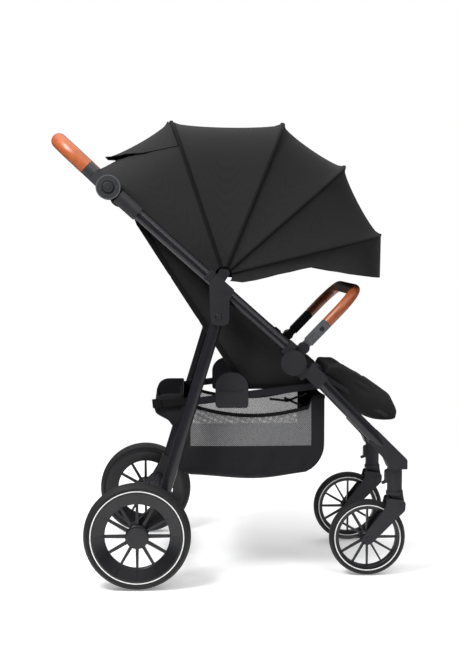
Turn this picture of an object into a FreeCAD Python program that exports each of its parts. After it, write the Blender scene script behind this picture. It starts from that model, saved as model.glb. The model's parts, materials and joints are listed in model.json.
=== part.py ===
"""Baby stroller: folding tube chassis on four wheels, reclining seat, canopy and shopping basket.

X points forward, Y to the left and Z up, in millimetres, with the floor at Z = 0.
Places are laid out from the rear axle, at X = 0, and every piece is shifted back by origin_x.
Side profiles are drawn in the XZ plane and padded across Y.
"""
import FreeCAD, Part
import math
import os
import Sketcher
from FreeCAD import Placement, Rotation, Vector

doc = FreeCAD.newDocument("stroller")
sheet = doc.addObject("Spreadsheet::Sheet", "dims")

DIMENSIONS = [
    # wheels and stance
    ("rear_wheel_od", 250), ("front_wheel_od", 185), ("wheelbase", 551), ("origin_x", 222),
    ("wheel_offset", 47), ("front_track", 345), ("frame_track", 464), ("trail", 66),
    ("rear_tyre_width", 42), ("rear_tyre_depth", 16), ("rear_hub_od", 56), ("rear_opening", 151),
    ("front_tyre_width", 30), ("front_tyre_depth", 12), ("front_hub_od", 38), ("front_opening", 139),
    ("spoke_count", 12), ("spoke_width", 5.8), ("rear_axle_od", 14), ("front_axle_od", 10),
    # frame tubes and pivots
    ("tube_od", 28), ("tube_wall", 2), ("socket_wall", 4), ("fit_gap", 0.1), ("running_gap", 0.08),
    ("side_gap", 0.4), ("hub_x", -63), ("hub_z", 929), ("fold_x", 364), ("fold_z", 524),
    ("tube_offset", 18), ("leg_offset", 15), ("leg_pivot_x", 190), ("leg_pivot_z", 632),
    ("pivot_pin_od", 16), ("knuckle_gap", 20), ("knuckle_plate", 13), ("knuckle_socket", 18),
    ("spigot_length", 56), ("strut_pin_od", 10),
    ("leg_eye_od", 32), ("eye_step", 0.6), ("rear_leg_dx", 58), ("rear_leg_dz", 75),
    ("strut_rear_reach", 216), ("strut_front_reach", 96), ("strut_track", 375),
    ("strut_width", 13), ("strut_depth", 16), ("elbow_track", 382), ("cross_tube_od", 24),
    ("axle_tube_od", 22), ("arch_width", 78), ("arch_height", 84),
    # handle
    ("handle_reach", 162), ("handle_tube_od", 26), ("handle_corner", 62), ("grip_od", 37),
    ("handle_angle", 43.2), ("hub_od", 57), ("hub_sleeve", 91), ("cap_sleeve", 68), ("button_od", 25),
    ("button_travel", 4), ("grip_seam_gap", 0.5),
    # seat
    ("seat_width", 320), ("seat_top", 530), ("board_thickness", 12),
    ("cushion_thickness", 40), ("recline_x", 262), ("recline_z", 474), ("back_length", 452),
    ("back_angle", 56.8), ("back_pad", 34), ("side_track", 346), ("side_thickness", 4),
    ("rest_x", 434), ("rest_z", 500), ("rest_length", 212), ("rest_angle", 32.5), ("rest_pad", 25),
    ("rest_belly", 38),
    ("barrel_od", 14), ("hinge_pin_od", 6), ("strap_width", 38), ("strap_thickness", 3),
    # canopy
    ("canopy_x", 203), ("canopy_z", 727), ("canopy_reach", 392), ("rib_width", 10),
    ("rib_thickness", 3.2), ("rib_pitch", 3.6), ("rib_outer_half", 204), ("rib_corner", 92),
    ("canopy_pin_od", 8), ("canopy_skin", 2.4), ("rear_rib_angle", 108.5), ("second_rib_angle", 67.7),
    ("third_rib_angle", 41), ("front_rib_angle", 13.7), ("canopy_back_angle", 137.5),
    ("canopy_front_angle", -1.5), ("gore_sag", 0.955), ("crown_rise", 16),
    # bumper bar
    ("bumper_x", 391), ("bumper_z", 556), ("bumper_end_width", 24), ("bumper_reach", 186),
    ("bumper_angle", 46), ("bumper_corner", 70), ("bumper_bar_od", 18), ("bumper_cover_od", 29),
    ("bumper_end_length", 82),
    # basket
    ("arch_overhang", 3.5), ("basket_wall", 3), ("basket_floor", 243), ("basket_rim", 432),
    # casters
    ("caster_top", 262), ("caster_bottom", 197), ("caster_od", 36), ("spindle_od", 12),
    ("fork_pivot_dx", 13), ("fork_pivot_z", 174), ("fork_gap", 38), ("fork_plate", 7),
]

for row, (alias, value) in enumerate(DIMENSIONS, start=1):
    sheet.set(f"A{row}", alias)
    sheet.set(f"B{row}", str(value))
    sheet.setAlias(f"B{row}", alias)
doc.recompute()

SIDES = {"left": 1, "right": -1}
nodes = []


def cell(alias):
    """Number held by one named cell of the sheet."""
    return float(sheet.get(alias))


# ---------------------------------------------------------------- drawing helpers

def keep(obj, label, x="0", y="0", z="0", rotation=None):
    """Name a finished sub-part and place it, with its place bound to the sheet."""
    obj.Label = label
    if rotation is not None:
        obj.Placement = Placement(obj.Placement.Base, rotation)
    obj.setExpression("Placement.Base.x", f"({x}) - dims.origin_x")
    obj.setExpression("Placement.Base.y", y)
    obj.setExpression("Placement.Base.z", z)
    nodes.append(obj)
    return obj


def new_body(name):
    return doc.addObject("PartDesign::Body", name + "_body")


def plane_sketch(body, role, name, offset="0"):
    """Sketch on one of the body's own origin planes, moved along the plane's normal."""
    sketch = body.newObject("Sketcher::SketchObject", name)
    plane = [item for item in body.Origin.OriginFeatures if item.Role == role][0]
    sketch.AttachmentSupport = [(plane, "")]
    sketch.MapMode = "FlatFace"
    sketch.setExpression("AttachmentOffset.Base.z", offset)
    return sketch


def outline(sketch, corners):
    """Closed outline through (a, b, radius) corners, each rounded by a tangent arc."""
    count = len(corners)
    ends = []
    for index, (a, b, radius) in enumerate(corners):
        here = Vector(a, b, 0)
        back = Vector(*corners[index - 1][:2], 0) - here
        ahead = Vector(*corners[(index + 1) % count][:2], 0) - here
        if radius == 0:
            ends.append((here, here, None))
            continue
        half = back.getAngle(ahead) / 2
        back.normalize()
        ahead.normalize()
        reach = radius / math.tan(half)
        toward = (back + ahead).normalize()
        middle = here + toward * (radius / math.sin(half) - radius)
        ends.append((here + back * reach, here + ahead * reach, middle))
    for index, (start, end, middle) in enumerate(ends):
        if middle is not None:
            sketch.addGeometry(Part.Arc(start, middle, end))
        following = ends[(index + 1) % count][0]
        if (following - end).Length > 1e-6:
            sketch.addGeometry(Part.LineSegment(end, following))


def circle(sketch, a, b, diameter):
    """Circle whose diameter follows an expression of the sheet."""
    index = sketch.addGeometry(Part.Circle(Vector(a, b, 0), Vector(0, 0, 1), 5))
    number = sketch.addConstraint(Sketcher.Constraint("Diameter", index, 10))
    sketch.setExpression(f"Constraints[{number}]", diameter)


def slab(body, draw, middle, thickness, cut=False):
    """Pad or pocket of an XZ drawing, centred on y = middle."""
    kind = "Pocket" if cut else "Pad"
    sketch = plane_sketch(body, "XZ_Plane", body.Name + "_side_sketch", f"-({middle})")
    draw(sketch)
    feature = body.newObject("PartDesign::" + kind, body.Name + "_" + kind.lower())
    feature.Profile = sketch
    feature.SideType = "Symmetric"
    feature.setExpression("Length", thickness)
    return feature


def turned(body, corners, cut=False):
    """Revolution about the body's Y axis of (radius, y, corner radius) points."""
    kind = "Groove" if cut else "Revolution"
    sketch = plane_sketch(body, "XY_Plane", body.Name + "_section")
    outline(sketch, corners)
    feature = body.newObject("PartDesign::" + kind, body.Name + "_" + kind.lower())
    feature.Profile = sketch
    feature.ReferenceAxis = (sketch, ["V_Axis"])
    feature.Angle = 360
    return feature


def upright_rib(body, corners, thickness):
    """Pad of an outline in the XY plane, centred on that plane."""
    sketch = plane_sketch(body, "XY_Plane", body.Name + "_rib_sketch")
    outline(sketch, corners)
    feature = body.newObject("PartDesign::Pad", body.Name + "_rib")
    feature.Profile = sketch
    feature.SideType = "Symmetric"
    feature.setExpression("Length", thickness)
    return feature


def rod(name, diameter, start, end):
    """Part::Cylinder between two points, its diameter bound to the sheet."""
    solid = doc.addObject("Part::Cylinder", name)
    solid.setExpression("Radius", f"({diameter}) / 2")
    solid.Height = (end - start).Length
    solid.Placement = Placement(start, Rotation(Vector(0, 0, 1), end - start))
    return solid


def joined(name, pieces):
    solid = doc.addObject("Part::MultiFuse", name)
    solid.Shapes = pieces
    return solid


def minus(name, base, tools):
    """Part::Cut of one or more tools from a base."""
    solid = doc.addObject("Part::Cut", name)
    solid.Base = base
    solid.Tool = tools[0] if len(tools) == 1 else joined(name + "_tools", tools)
    return solid


def hollow_rod(name, diameter, wall, start, end):
    outer = rod(name + "_outer", diameter, start, end)
    inner = rod(name + "_inner", f"({diameter}) - 2 * ({wall})", start, end)
    return minus(name, outer, [inner])


def across(x, z, y_from, y_to):
    """Two ends of a rod that runs across the stroller."""
    return Vector(x, y_from, z), Vector(x, y_to, z)


def polar(angle, length=1.0):
    """Step of a given length in the XZ plane; 0 is forward and 90 is up."""
    turn = math.radians(angle)
    return Vector(length * math.cos(turn), 0, length * math.sin(turn))


def along(start, direction, distance):
    return start + direction * distance


def flat(point, radius):
    """Corner of an XZ drawing from a point in space."""
    return (point.x, point.z, radius)


def bar_outline(start, end, width, end_radius):
    """Four rounded corners of a bar drawn from start to end."""
    ahead = (end - start).normalize()
    beside = Vector(-ahead.z, 0, ahead.x) * (width / 2)
    corners = (start - beside, end - beside, end + beside, start + beside)
    return [flat(corner, end_radius) for corner in corners]


def tangent_line(pivot, far, offset):
    """Unit direction and foot of the line through far that passes above pivot at offset."""
    span = far - pivot
    turn = math.asin(offset / span.Length)
    base = math.atan2(span.z, span.x)
    direction = polar(math.degrees(base - turn if span.x > 0 else base + turn))
    foot = far - direction * math.sqrt(span.Length ** 2 - offset ** 2)
    return direction, foot


# ---------------------------------------------------------------- shared places

half_frame = cell("frame_track") / 2
hub = Vector(cell("hub_x"), 0, cell("hub_z"))
fold = Vector(cell("fold_x"), 0, cell("fold_z"))
leg_pivot = Vector(cell("leg_pivot_x"), 0, cell("leg_pivot_z"))
swivel_x = cell("wheelbase") + cell("trail")
elbow = Vector(swivel_x - 32, 0, cell("caster_top") + 54)
leg_foot = Vector(cell("rear_leg_dx"), 0, cell("rear_wheel_od") / 2 + cell("rear_leg_dz"))

tube_up, tube_foot = tangent_line(fold, hub, cell("tube_offset"))
leg_down, front_foot = tangent_line(fold, elbow, cell("leg_offset"))
rear_down = (leg_foot - leg_pivot).normalize()
strut_rear = along(leg_pivot, rear_down, cell("strut_rear_reach"))
strut_front = along(front_foot, leg_down, cell("strut_front_reach"))
tube_radius = cell("tube_od") / 2
socket_od = cell("tube_od") + 2 * cell("socket_wall")
tube_end = along(tube_foot, tube_up, cell("knuckle_gap") + 4)
leg_start = along(front_foot, leg_down, cell("knuckle_gap") + 18)


def aside(point, y):
    """Point moved across to y."""
    return Vector(point.x, y, point.z)


# ---------------------------------------------------------------- upper frame

def main_tube(name, side):
    start = aside(tube_end, side * half_frame)
    end = aside(along(hub, tube_up, -30), side * half_frame)
    tube = hollow_rod("main_tube_" + name, "dims.tube_od", "dims.tube_wall", start, end)
    keep(tube, "main_tube_" + name)


def hub_socket(name, side):
    """Lower half of the handle joint: inner disc and the sleeve over the main tube."""
    body = new_body("hub_socket_" + name)
    origin = Vector(0, 0, 0)
    down = tube_up * -1
    inner = f"{-side} * (dims.socket_wall + dims.tube_od / 2 + dims.side_gap / 2) / 2"
    thickness = "dims.socket_wall + dims.tube_od / 2 - dims.side_gap / 2"
    slab(body, lambda s: outline(s, bar_outline(origin, down * 44, socket_od, 4)), inner, thickness)
    slab(body, lambda s: circle(s, 0, 0, "dims.hub_od - 2"), inner, thickness)
    sleeve = rod("hub_sleeve_" + name, "dims.tube_od + 2 * dims.socket_wall",
                 down * 30, down * cell("hub_sleeve"))
    bore = rod("hub_bore_" + name, "dims.tube_od + 2 * dims.fit_gap",
               down * 29.5, down * (cell("hub_sleeve") + 1))
    spindle_y = side * (cell("tube_od") / 2 - 2)
    spindle = rod("hub_spindle_" + name, "dims.pivot_pin_od", *across(0, 0, -side * 8, spindle_y))
    whole = joined("hub_socket_solid_" + name, [body, sleeve, spindle])
    keep(minus("hub_socket_" + name, whole, [bore]), "hub_socket_" + name,
         "dims.hub_x", str(side * half_frame), "dims.hub_z")


def leg_bracket(name, side):
    """Housing clamped on the main tube, open behind and below for the rear leg to swing."""
    body = new_body("leg_bracket_" + name)
    on_tube = along(tube_foot, tube_up, (leg_pivot - tube_foot).dot(tube_up)) - leg_pivot
    high = along(on_tube, tube_up, 86)
    low = along(on_tube, tube_up, 4)
    normal = Vector(-tube_up.z, 0, tube_up.x)
    if normal.z > 0:
        normal = normal * -1
    shell = [
        flat(high - normal * 17, 5), flat(low + tube_up * 9 - normal * 17, 6), (25, 37, 10), (24, -21, 14),
        (-18, -21, 14), (-22, 84, 8), flat(high + normal * 17, 5),
    ]
    slab(body, lambda s: outline(s, shell), "0", "dims.tube_od + 2 * dims.socket_wall")
    for distance in (8, 15):
        middle = high - tube_up * distance
        ring = bar_outline(middle - normal * 22, middle + normal * 22, 2, 0)
        for face in (-1, 1):
            surface = f"{face} * (dims.tube_od / 2 + dims.socket_wall)"
            slab(body, lambda s: outline(s, ring), surface, "2.4", cut=True)
    screw_seat = f"{side} * (dims.tube_od / 2 + dims.socket_wall)"
    slab(body, lambda s: circle(s, 0, 0, "17"), screw_seat, "3", cut=True)
    roof = 20
    slot = [
        flat(high + normal * roof + tube_up * 30, 0), flat(low + normal * roof - tube_up * 40, 0),
        (60, -60, 0), (-90, -60, 0), (-90, 60, 0),
    ]
    slab(body, lambda s: outline(s, slot), "0", "dims.tube_od + 2 * dims.side_gap", cut=True)
    bore = rod("bracket_bore_" + name, "dims.tube_od + 2 * dims.fit_gap",
               high + tube_up * 40, low - tube_up * 60)
    reach = half_width("socket")
    pin = rod("leg_pin_" + name, "dims.strut_pin_od", *across(0, 0, -reach, reach))
    shell_cut = minus("leg_bracket_shell_" + name, body, [bore])
    whole = joined("leg_bracket_" + name, [shell_cut, pin])
    keep(whole, "leg_bracket_" + name, "dims.leg_pivot_x", str(side * half_frame), "dims.leg_pivot_z")


def half_width(kind):
    """Half thickness across Y of the sockets that wrap the tubes."""
    return {"socket": cell("tube_od") / 2 + cell("socket_wall"), "tube": cell("tube_od") / 2}[kind]


def fold_knuckle(name, side):
    """End casting of the main tube: inner plate with the fold pin and the lug of the bumper bar."""
    body = new_body("fold_knuckle_" + name)
    foot = tube_foot - fold
    start = along(foot, tube_up, cell("knuckle_gap"))
    end = along(start, tube_up, cell("knuckle_socket"))
    block = bar_outline(start, end, socket_od, 4)
    slab(body, lambda s: outline(s, block), "0", "dims.tube_od + 2 * dims.socket_wall")
    plate = cell("knuckle_plate")
    inner = f"{-side} * (dims.socket_wall + dims.tube_od / 2 - dims.knuckle_plate / 2)"
    slab(body, lambda s: circle(s, 0, 0, "52"), inner, "dims.knuckle_plate")
    web = [(-24, 4, 4), flat(end, 3), flat(start, 8), (18, 16, 6), (0, -10, 8)]
    slab(body, lambda s: outline(s, web), inner, "dims.knuckle_plate")
    lug = Vector(cell("bumper_x"), 0, cell("bumper_z")) - fold
    slab(body, lambda s: outline(s, bar_outline(Vector(0, 0, 0), lug, 24, 8)), inner, "dims.knuckle_plate")
    slab(body, lambda s: circle(s, lug.x, lug.z, "26"), inner, "dims.knuckle_plate")
    bore = rod("knuckle_bore_" + name, "dims.tube_od + 2 * dims.fit_gap",
               along(foot, tube_up, cell("knuckle_gap") + 3.9), along(foot, tube_up, 80))
    spigot = rod("knuckle_spigot_" + name, "dims.tube_od - 2 * dims.tube_wall - 2 * dims.fit_gap",
                 along(start, tube_up, 2), along(start, tube_up, cell("spigot_length")))
    wall = half_width("socket")
    root = side * (plate - wall - 1)
    pin = rod("fold_pin_" + name, "dims.pivot_pin_od", *across(0, 0, root, side * (wall + 2)))
    stud_end = -side * (wall + cell("bumper_end_width") + 0.5)
    stud = rod("bumper_stud_" + name, "12", *across(lug.x, lug.z, root, stud_end))
    head = rod("bumper_stud_head_" + name, "18", *across(lug.x, lug.z, stud_end, stud_end - side * 2))
    shell = minus("fold_knuckle_shell_" + name, body, [bore])
    whole = joined("fold_knuckle_" + name, [shell, spigot, pin, stud, head])
    keep(whole, "fold_knuckle_" + name, "dims.fold_x", str(side * half_frame), "dims.fold_z")


def canopy_mounts():
    """Pair of plates screwed to the leg brackets, each with the pin that the rib eyes turn on."""
    parts = []
    pin = Vector(cell("canopy_x"), 0, cell("canopy_z"))
    foot = along(tube_foot, tube_up, (pin - tube_foot).dot(tube_up)) - pin
    outer_y = half_frame - half_width("socket") - 0.3
    plate_y = cell("rib_outer_half") + 0.6
    for name, side in SIDES.items():
        body = new_body("canopy_mount_" + name)
        base = [
            flat(along(foot, tube_up, 26), 7), flat(along(foot, tube_up, -14), 7), (15, 4, 8), (9, 14, 7),
            (-9, 14, 7), (-15, 2, 8),
        ]
        slab(body, lambda s: outline(s, base), f"{side} * {(outer_y + plate_y) / 2}", str(outer_y - plate_y))
        inner_end = side * (cell("rib_outer_half") - 4 * cell("rib_pitch") - 0.4)
        stem = rod("canopy_pin_" + name, "dims.canopy_pin_od", *across(0, 0, side * (plate_y + 1), inner_end))
        head = rod("canopy_pin_head_" + name, "dims.canopy_pin_od + 6",
                   *across(0, 0, inner_end, inner_end - side * 2.5))
        parts.append(joined("canopy_mount_solid_" + name, [body, stem, head]))
    pair = doc.addObject("Part::Compound", "canopy_mounts")
    pair.Links = parts
    keep(pair, "canopy_mounts", "dims.canopy_x", "0", "dims.canopy_z")


# ---------------------------------------------------------------- handle

def bent_bar(name, reach, half_span, corner, diameter, bore=None, start=0.0):
    """U-shaped bar in its own XY plane: two arms along X, joined across by round corners."""
    body = new_body(name)
    path = plane_sketch(body, "XY_Plane", name + "_path")
    near = Vector(reach - corner, half_span, 0)
    far = Vector(reach, half_span - corner, 0)
    centre = Vector(reach - corner, half_span - corner, 0)
    quarter = corner * math.sqrt(0.5)
    flip = lambda point: Vector(point.x, -point.y, 0)
    path.addGeometry(Part.LineSegment(Vector(start, half_span, 0), near))
    path.addGeometry(Part.Arc(near, centre + Vector(quarter, quarter, 0), far))
    path.addGeometry(Part.LineSegment(far, flip(far)))
    path.addGeometry(Part.Arc(flip(far), flip(centre + Vector(quarter, quarter, 0)), flip(near)))
    path.addGeometry(Part.LineSegment(flip(near), Vector(start, -half_span, 0)))
    section = plane_sketch(body, "YZ_Plane", name + "_ring", str(start))
    circle(section, half_span, 0, diameter)
    if bore is not None:
        circle(section, half_span, 0, bore)
    pipe = body.newObject("PartDesign::AdditivePipe", name + "_pipe")
    pipe.Profile = section
    pipe.Spine = (path, ["Edge1", "Edge2", "Edge3", "Edge4", "Edge5"])
    return body


def handle():
    tilt = Rotation(Vector(0, 1, 0), -(180 - cell("handle_angle")))
    bore = "dims.handle_tube_od - 2 * dims.tube_wall"
    bar = bent_bar("handle_bar", cell("handle_reach"), half_frame, cell("handle_corner"),
                   "dims.handle_tube_od", bore, start=30)
    keep(bar, "handle_bar", "dims.hub_x", "0", "dims.hub_z", tilt)
    grip_start = cell("cap_sleeve") + cell("grip_seam_gap")
    grip = bent_bar("handle_grip", cell("handle_reach"), half_frame, cell("handle_corner"),
                    "dims.grip_od", "dims.handle_tube_od + 2 * dims.fit_gap", start=grip_start)
    keep(grip, "handle_grip", "dims.hub_x", "0", "dims.hub_z", tilt)


def hub_cap(name, side):
    """Upper half of the handle joint: outer disc with the button well, and the sleeve."""
    body = new_body("hub_cap_" + name)
    up = polar(180 - cell("handle_angle"))
    origin = Vector(0, 0, 0)
    middle = f"{side} * (dims.socket_wall + dims.tube_od / 2 + 2 + dims.side_gap / 2) / 2"
    thickness = "dims.socket_wall + dims.tube_od / 2 + 2 - dims.side_gap / 2"
    slab(body, lambda s: outline(s, bar_outline(origin, up * 44, socket_od, 4)), middle, thickness)
    slab(body, lambda s: circle(s, 0, 0, "dims.hub_od"), middle, thickness)
    outer = half_width("socket") + 2
    well_depth = cell("button_travel") + 4
    well_middle = f"{side} * {outer - well_depth / 2 + 0.5}"
    well = "dims.button_od + 2 * dims.side_gap"
    slab(body, lambda s: circle(s, 0, 0, well), well_middle, str(well_depth + 1), cut=True)
    sleeve = rod("cap_sleeve_" + name, "dims.tube_od + 2 * dims.socket_wall",
                 up * 30, up * cell("cap_sleeve"))
    bore = rod("cap_bore_" + name, "dims.handle_tube_od + 2 * dims.fit_gap",
               up * 29.5, up * (cell("cap_sleeve") + 1))
    spindle_bore = rod("cap_spindle_bore_" + name, "dims.pivot_pin_od + 2 * dims.running_gap",
                       *across(0, 0, -side * 1, side * (cell("tube_od") / 2 - 1.6)))
    whole = joined("hub_cap_solid_" + name, [body, sleeve])
    keep(minus("hub_cap_" + name, whole, [bore, spindle_bore]), "hub_cap_" + name,
         "dims.hub_x", str(side * half_frame), "dims.hub_z")


def hub_button(name, side):
    body = new_body("hub_button_" + name)
    radius = cell("button_od") / 2
    turned(body, [(0, 0, 0), (radius, 0, 0), (radius, side * 6.5, 1.6), (0, side * 7, 0)])
    base = half_width("socket") + 2 - cell("button_travel") + 0.4
    keep(body, "hub_button_" + name, "dims.hub_x", str(side * (half_frame + base)), "dims.hub_z")


# ---------------------------------------------------------------- front legs

def front_leg(name, side):
    start = aside(leg_start, side * half_frame)
    end = aside(elbow, side * cell("elbow_track") / 2)
    axis = (end - start).normalize()
    tube = hollow_rod("front_leg_tube_" + name, "dims.tube_od", "dims.tube_wall", start, end)
    reach = (strut_front - leg_start).Length / (elbow - leg_start).Length
    at_pin = start + (end - start) * reach
    strut_y = side * cell("strut_track") / 2
    inner = strut_y + side * (cell("strut_width") / 2 + cell("side_gap"))
    root = aside(strut_front, at_pin.y - side * 6)
    collar = rod("front_strut_collar_" + name, "18", root, aside(strut_front, inner))
    pin = rod("front_strut_pin_" + name, "dims.strut_pin_od", root,
              aside(strut_front, strut_y - side * (cell("strut_width") / 2 + 2)))
    hollow = rod("front_leg_hollow_" + name, "dims.tube_od - 2 * dims.tube_wall",
                 start - axis * 5, start + axis * 20)
    fitting = minus("front_leg_fitting_" + name, joined("front_leg_pin_" + name, [collar, pin]), [hollow])
    keep(joined("front_leg_" + name, [tube, fitting]), "front_leg_" + name)


def leg_knuckles():
    """Pair of castings that turn on the fold pins with the front legs, each with its round cover."""
    parts = []
    wall = half_width("socket")
    gap = cell("side_gap")
    for name, side in SIDES.items():
        body = new_body("leg_knuckle_" + name)
        foot = front_foot - fold
        end = along(foot, leg_down, 84)
        inner = -(wall - cell("knuckle_plate") - gap)
        middle = f"{side} * {(wall + gap + inner) / 2}"
        origin = Vector(0, 0, 0)
        slab(body, lambda s: circle(s, 0, 0, "34"), middle, str(wall + gap - inner))
        arm = bar_outline(origin, leg_down * 44, 30, 3)
        slab(body, lambda s: outline(s, arm), middle, str(wall + gap - inner))
        block = bar_outline(along(foot, leg_down, cell("knuckle_gap") + 14), end, socket_od, 6)
        slab(body, lambda s: outline(s, block), f"{side} * dims.side_gap / 2",
             "dims.tube_od + 2 * dims.socket_wall + dims.side_gap")
        cover = f"{side} * {wall + gap + 2.5}"
        slab(body, lambda s: circle(s, 0, 0, "dims.hub_od + 2"), cover, "5")
        tube_start = aside(leg_start, side * half_frame) - aside(fold, side * half_frame)
        tube_far = aside(elbow, side * cell("elbow_track") / 2) - aside(fold, side * half_frame)
        bore = rod("leg_knuckle_bore_" + name, "dims.tube_od + 2 * dims.fit_gap", tube_start, tube_far)
        pin_bore = rod("fold_pin_bore_" + name, "dims.pivot_pin_od + 2 * dims.running_gap",
                       *across(0, 0, -side * 12, side * (wall + 2.5)))
        solid = minus("leg_knuckle_solid_" + name, body, [bore, pin_bore])
        solid.setExpression("Placement.Base.y", f"{side} * dims.frame_track / 2")
        parts.append(solid)
    pair = doc.addObject("Part::Compound", "leg_knuckles")
    pair.Links = parts
    keep(pair, "leg_knuckles", "dims.fold_x", "0", "dims.fold_z")


def caster_housing(name, side):
    """Elbow at the foot of the front leg, with the bore that the caster spindle turns in."""
    body = new_body("caster_housing_" + name)
    seam = along(elbow, leg_down, -34) - Vector(swivel_x, 0, cell("caster_top"))
    beside = Vector(-leg_down.z, 0, leg_down.x) * (socket_od / 2)
    profile = [
        flat(seam + beside, 4), (25, 24, 12), (25, 1, 3), (-18, 1, 3), (-27, 22, 10), flat(seam - beside, 4),
    ]
    inner = cell("front_track") / 2 - 20
    outer = cell("elbow_track") / 2 + half_width("socket") - 3
    middle = (inner + outer) / 2 - cell("front_track") / 2
    slab(body, lambda s: outline(s, profile), f"{side} * {middle}", str(outer - inner))
    local = Vector(swivel_x, side * cell("front_track") / 2, cell("caster_top"))
    leg_a = aside(leg_start, side * half_frame) - local
    leg_b = aside(elbow, side * cell("elbow_track") / 2) - local
    bore = rod("elbow_bore_" + name, "dims.tube_od + 2 * dims.fit_gap", leg_a, leg_b)
    spindle = rod("spindle_bore_" + name, "dims.spindle_od + 2 * dims.running_gap",
                  Vector(0, 0, -5), Vector(0, 0, 20.5))
    keep(minus("caster_housing_" + name, body, [bore, spindle]), "caster_housing_" + name,
         "dims.wheelbase + dims.trail", f"{side} * dims.front_track / 2", "dims.caster_top")


def front_cross_tube():
    y = cell("front_track") / 2 - 20
    start, end = across(swivel_x - 8, cell("caster_top") + 26, -y, y)
    tube = hollow_rod("front_cross_tube", "dims.cross_tube_od", "dims.tube_wall", start, end)
    keep(tube, "front_cross_tube")


# ---------------------------------------------------------------- casters

def caster_head(name, side):
    """Swivel head: spindle, round housing, swivel lock and the nose that holds the fork's pivot."""
    body = new_body("caster_head_" + name)
    drop = cell("caster_bottom") - cell("caster_top")
    pivot = (cell("fork_pivot_dx"), cell("fork_pivot_z") - cell("caster_top"))
    lug_width = cell("fork_gap") - 2 * cell("side_gap")
    nose = [
        (-12, drop + 16, 4), (16, drop + 16, 4), (pivot[0] + 10, pivot[1], 9),
        (pivot[0] - 9, pivot[1] - 2, 5), (-12, drop, 4),
    ]
    slab(body, lambda s: outline(s, nose), "0", str(lug_width - 8))
    back = -cell("caster_od") / 2
    lock = [(back - 6, -36, 4), (back - 6, -7, 7), (back + 6, -3, 2), (back + 6, -36, 2)]
    slab(body, lambda s: outline(s, lock), "0", "20")
    tab = [(back - 13, -41, 1.5), (back - 13, -36, 1.5), (back - 3, -30, 2), (back + 3, -34, 1)]
    slab(body, lambda s: outline(s, tab), "0", "13")
    slab(body, lambda s: circle(s, pivot[0], pivot[1], "20"), "0", str(lug_width))
    column = rod("caster_column_" + name, "dims.caster_od", Vector(0, 0, drop), Vector(0, 0, 0.6))
    collar = rod("caster_collar_" + name, "dims.caster_od + 5", Vector(0, 0, drop), Vector(0, 0, drop + 8))
    spindle = rod("caster_spindle_" + name, "dims.spindle_od", Vector(0, 0, 0), Vector(0, 0, 20))
    whole = joined("caster_head_solid_" + name, [body, column, collar, spindle])
    pin_bore = rod("fork_pin_bore_" + name, "8 + 2 * dims.running_gap", *across(*pivot, -30, 30))
    keep(minus("caster_head_" + name, whole, [pin_bore]), "caster_head_" + name,
         "dims.wheelbase + dims.trail", f"{side} * dims.front_track / 2", "dims.caster_top")


def caster_fork(name, side):
    """Trailing fork: two tapered arms, the bridge behind the head, pivot pin and axle."""
    body = new_body("caster_fork_" + name)
    pivot_z = cell("fork_pivot_z") - cell("front_wheel_od") / 2
    pivot = Vector(cell("trail") + cell("fork_pivot_dx"), 0, pivot_z)
    bridge = Vector(pivot.x - 25, 0, pivot.z + 7)
    arm = [
        (-9, -8, 9), (9, -10, 9), (pivot.x + 9, pivot.z - 13, 10), (pivot.x + 11, pivot.z + 11, 10),
        (bridge.x - 8, bridge.z + 10, 6), (bridge.x - 14, bridge.z - 14, 14), (-8, 13, 8),
    ]
    for across_y in (-1, 1):
        middle = f"{across_y} * (dims.fork_gap + dims.fork_plate) / 2"
        slab(body, lambda s: outline(s, arm), middle, "dims.fork_plate")
        slab(body, lambda s: circle(s, 0, 0, "26"), middle, "dims.fork_plate")
    slab(body, lambda s: circle(s, bridge.x, bridge.z, "13"), "0", "dims.fork_gap + dims.fork_plate")
    side_reach = cell("fork_gap") / 2 + cell("fork_plate") + 1.5
    pin = rod("fork_pin_" + name, "8", *across(pivot.x, pivot.z, -side_reach, side_reach))
    axle = rod("front_axle_" + name, "dims.front_axle_od", *across(0, 0, -side_reach, side_reach))
    whole = joined("caster_fork_" + name, [body, pin, axle])
    keep(whole, "caster_fork_" + name,
         "dims.wheelbase", f"{side} * dims.front_track / 2", "dims.front_wheel_od / 2")


# ---------------------------------------------------------------- wheels

def tyre(label, kind, side, x, y):
    """Foam tyre: straight seat and side walls, with one arc across the tread."""
    body = new_body(label)
    outer = cell(kind + "_wheel_od") / 2
    seat = outer - cell(kind + "_tyre_depth")
    half = cell(kind + "_tyre_width") / 2
    shoulder = outer - cell(kind + "_tyre_depth") * 0.55
    sketch = plane_sketch(body, "XY_Plane", label + "_section")
    corners = [
        Vector(shoulder, half, 0), Vector(seat, half - 3, 0),
        Vector(seat, 3 - half, 0), Vector(shoulder, -half, 0),
    ]
    for start, end in zip(corners, corners[1:]):
        sketch.addGeometry(Part.LineSegment(start, end))
    sketch.addGeometry(Part.Arc(corners[-1], Vector(outer, 0, 0), corners[0]))
    feature = body.newObject("PartDesign::Revolution", label + "_revolution")
    feature.Profile = sketch
    feature.ReferenceAxis = (sketch, ["V_Axis"])
    feature.Angle = 360
    keep(body, label, x, y, f"dims.{kind}_wheel_od / 2")


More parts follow.
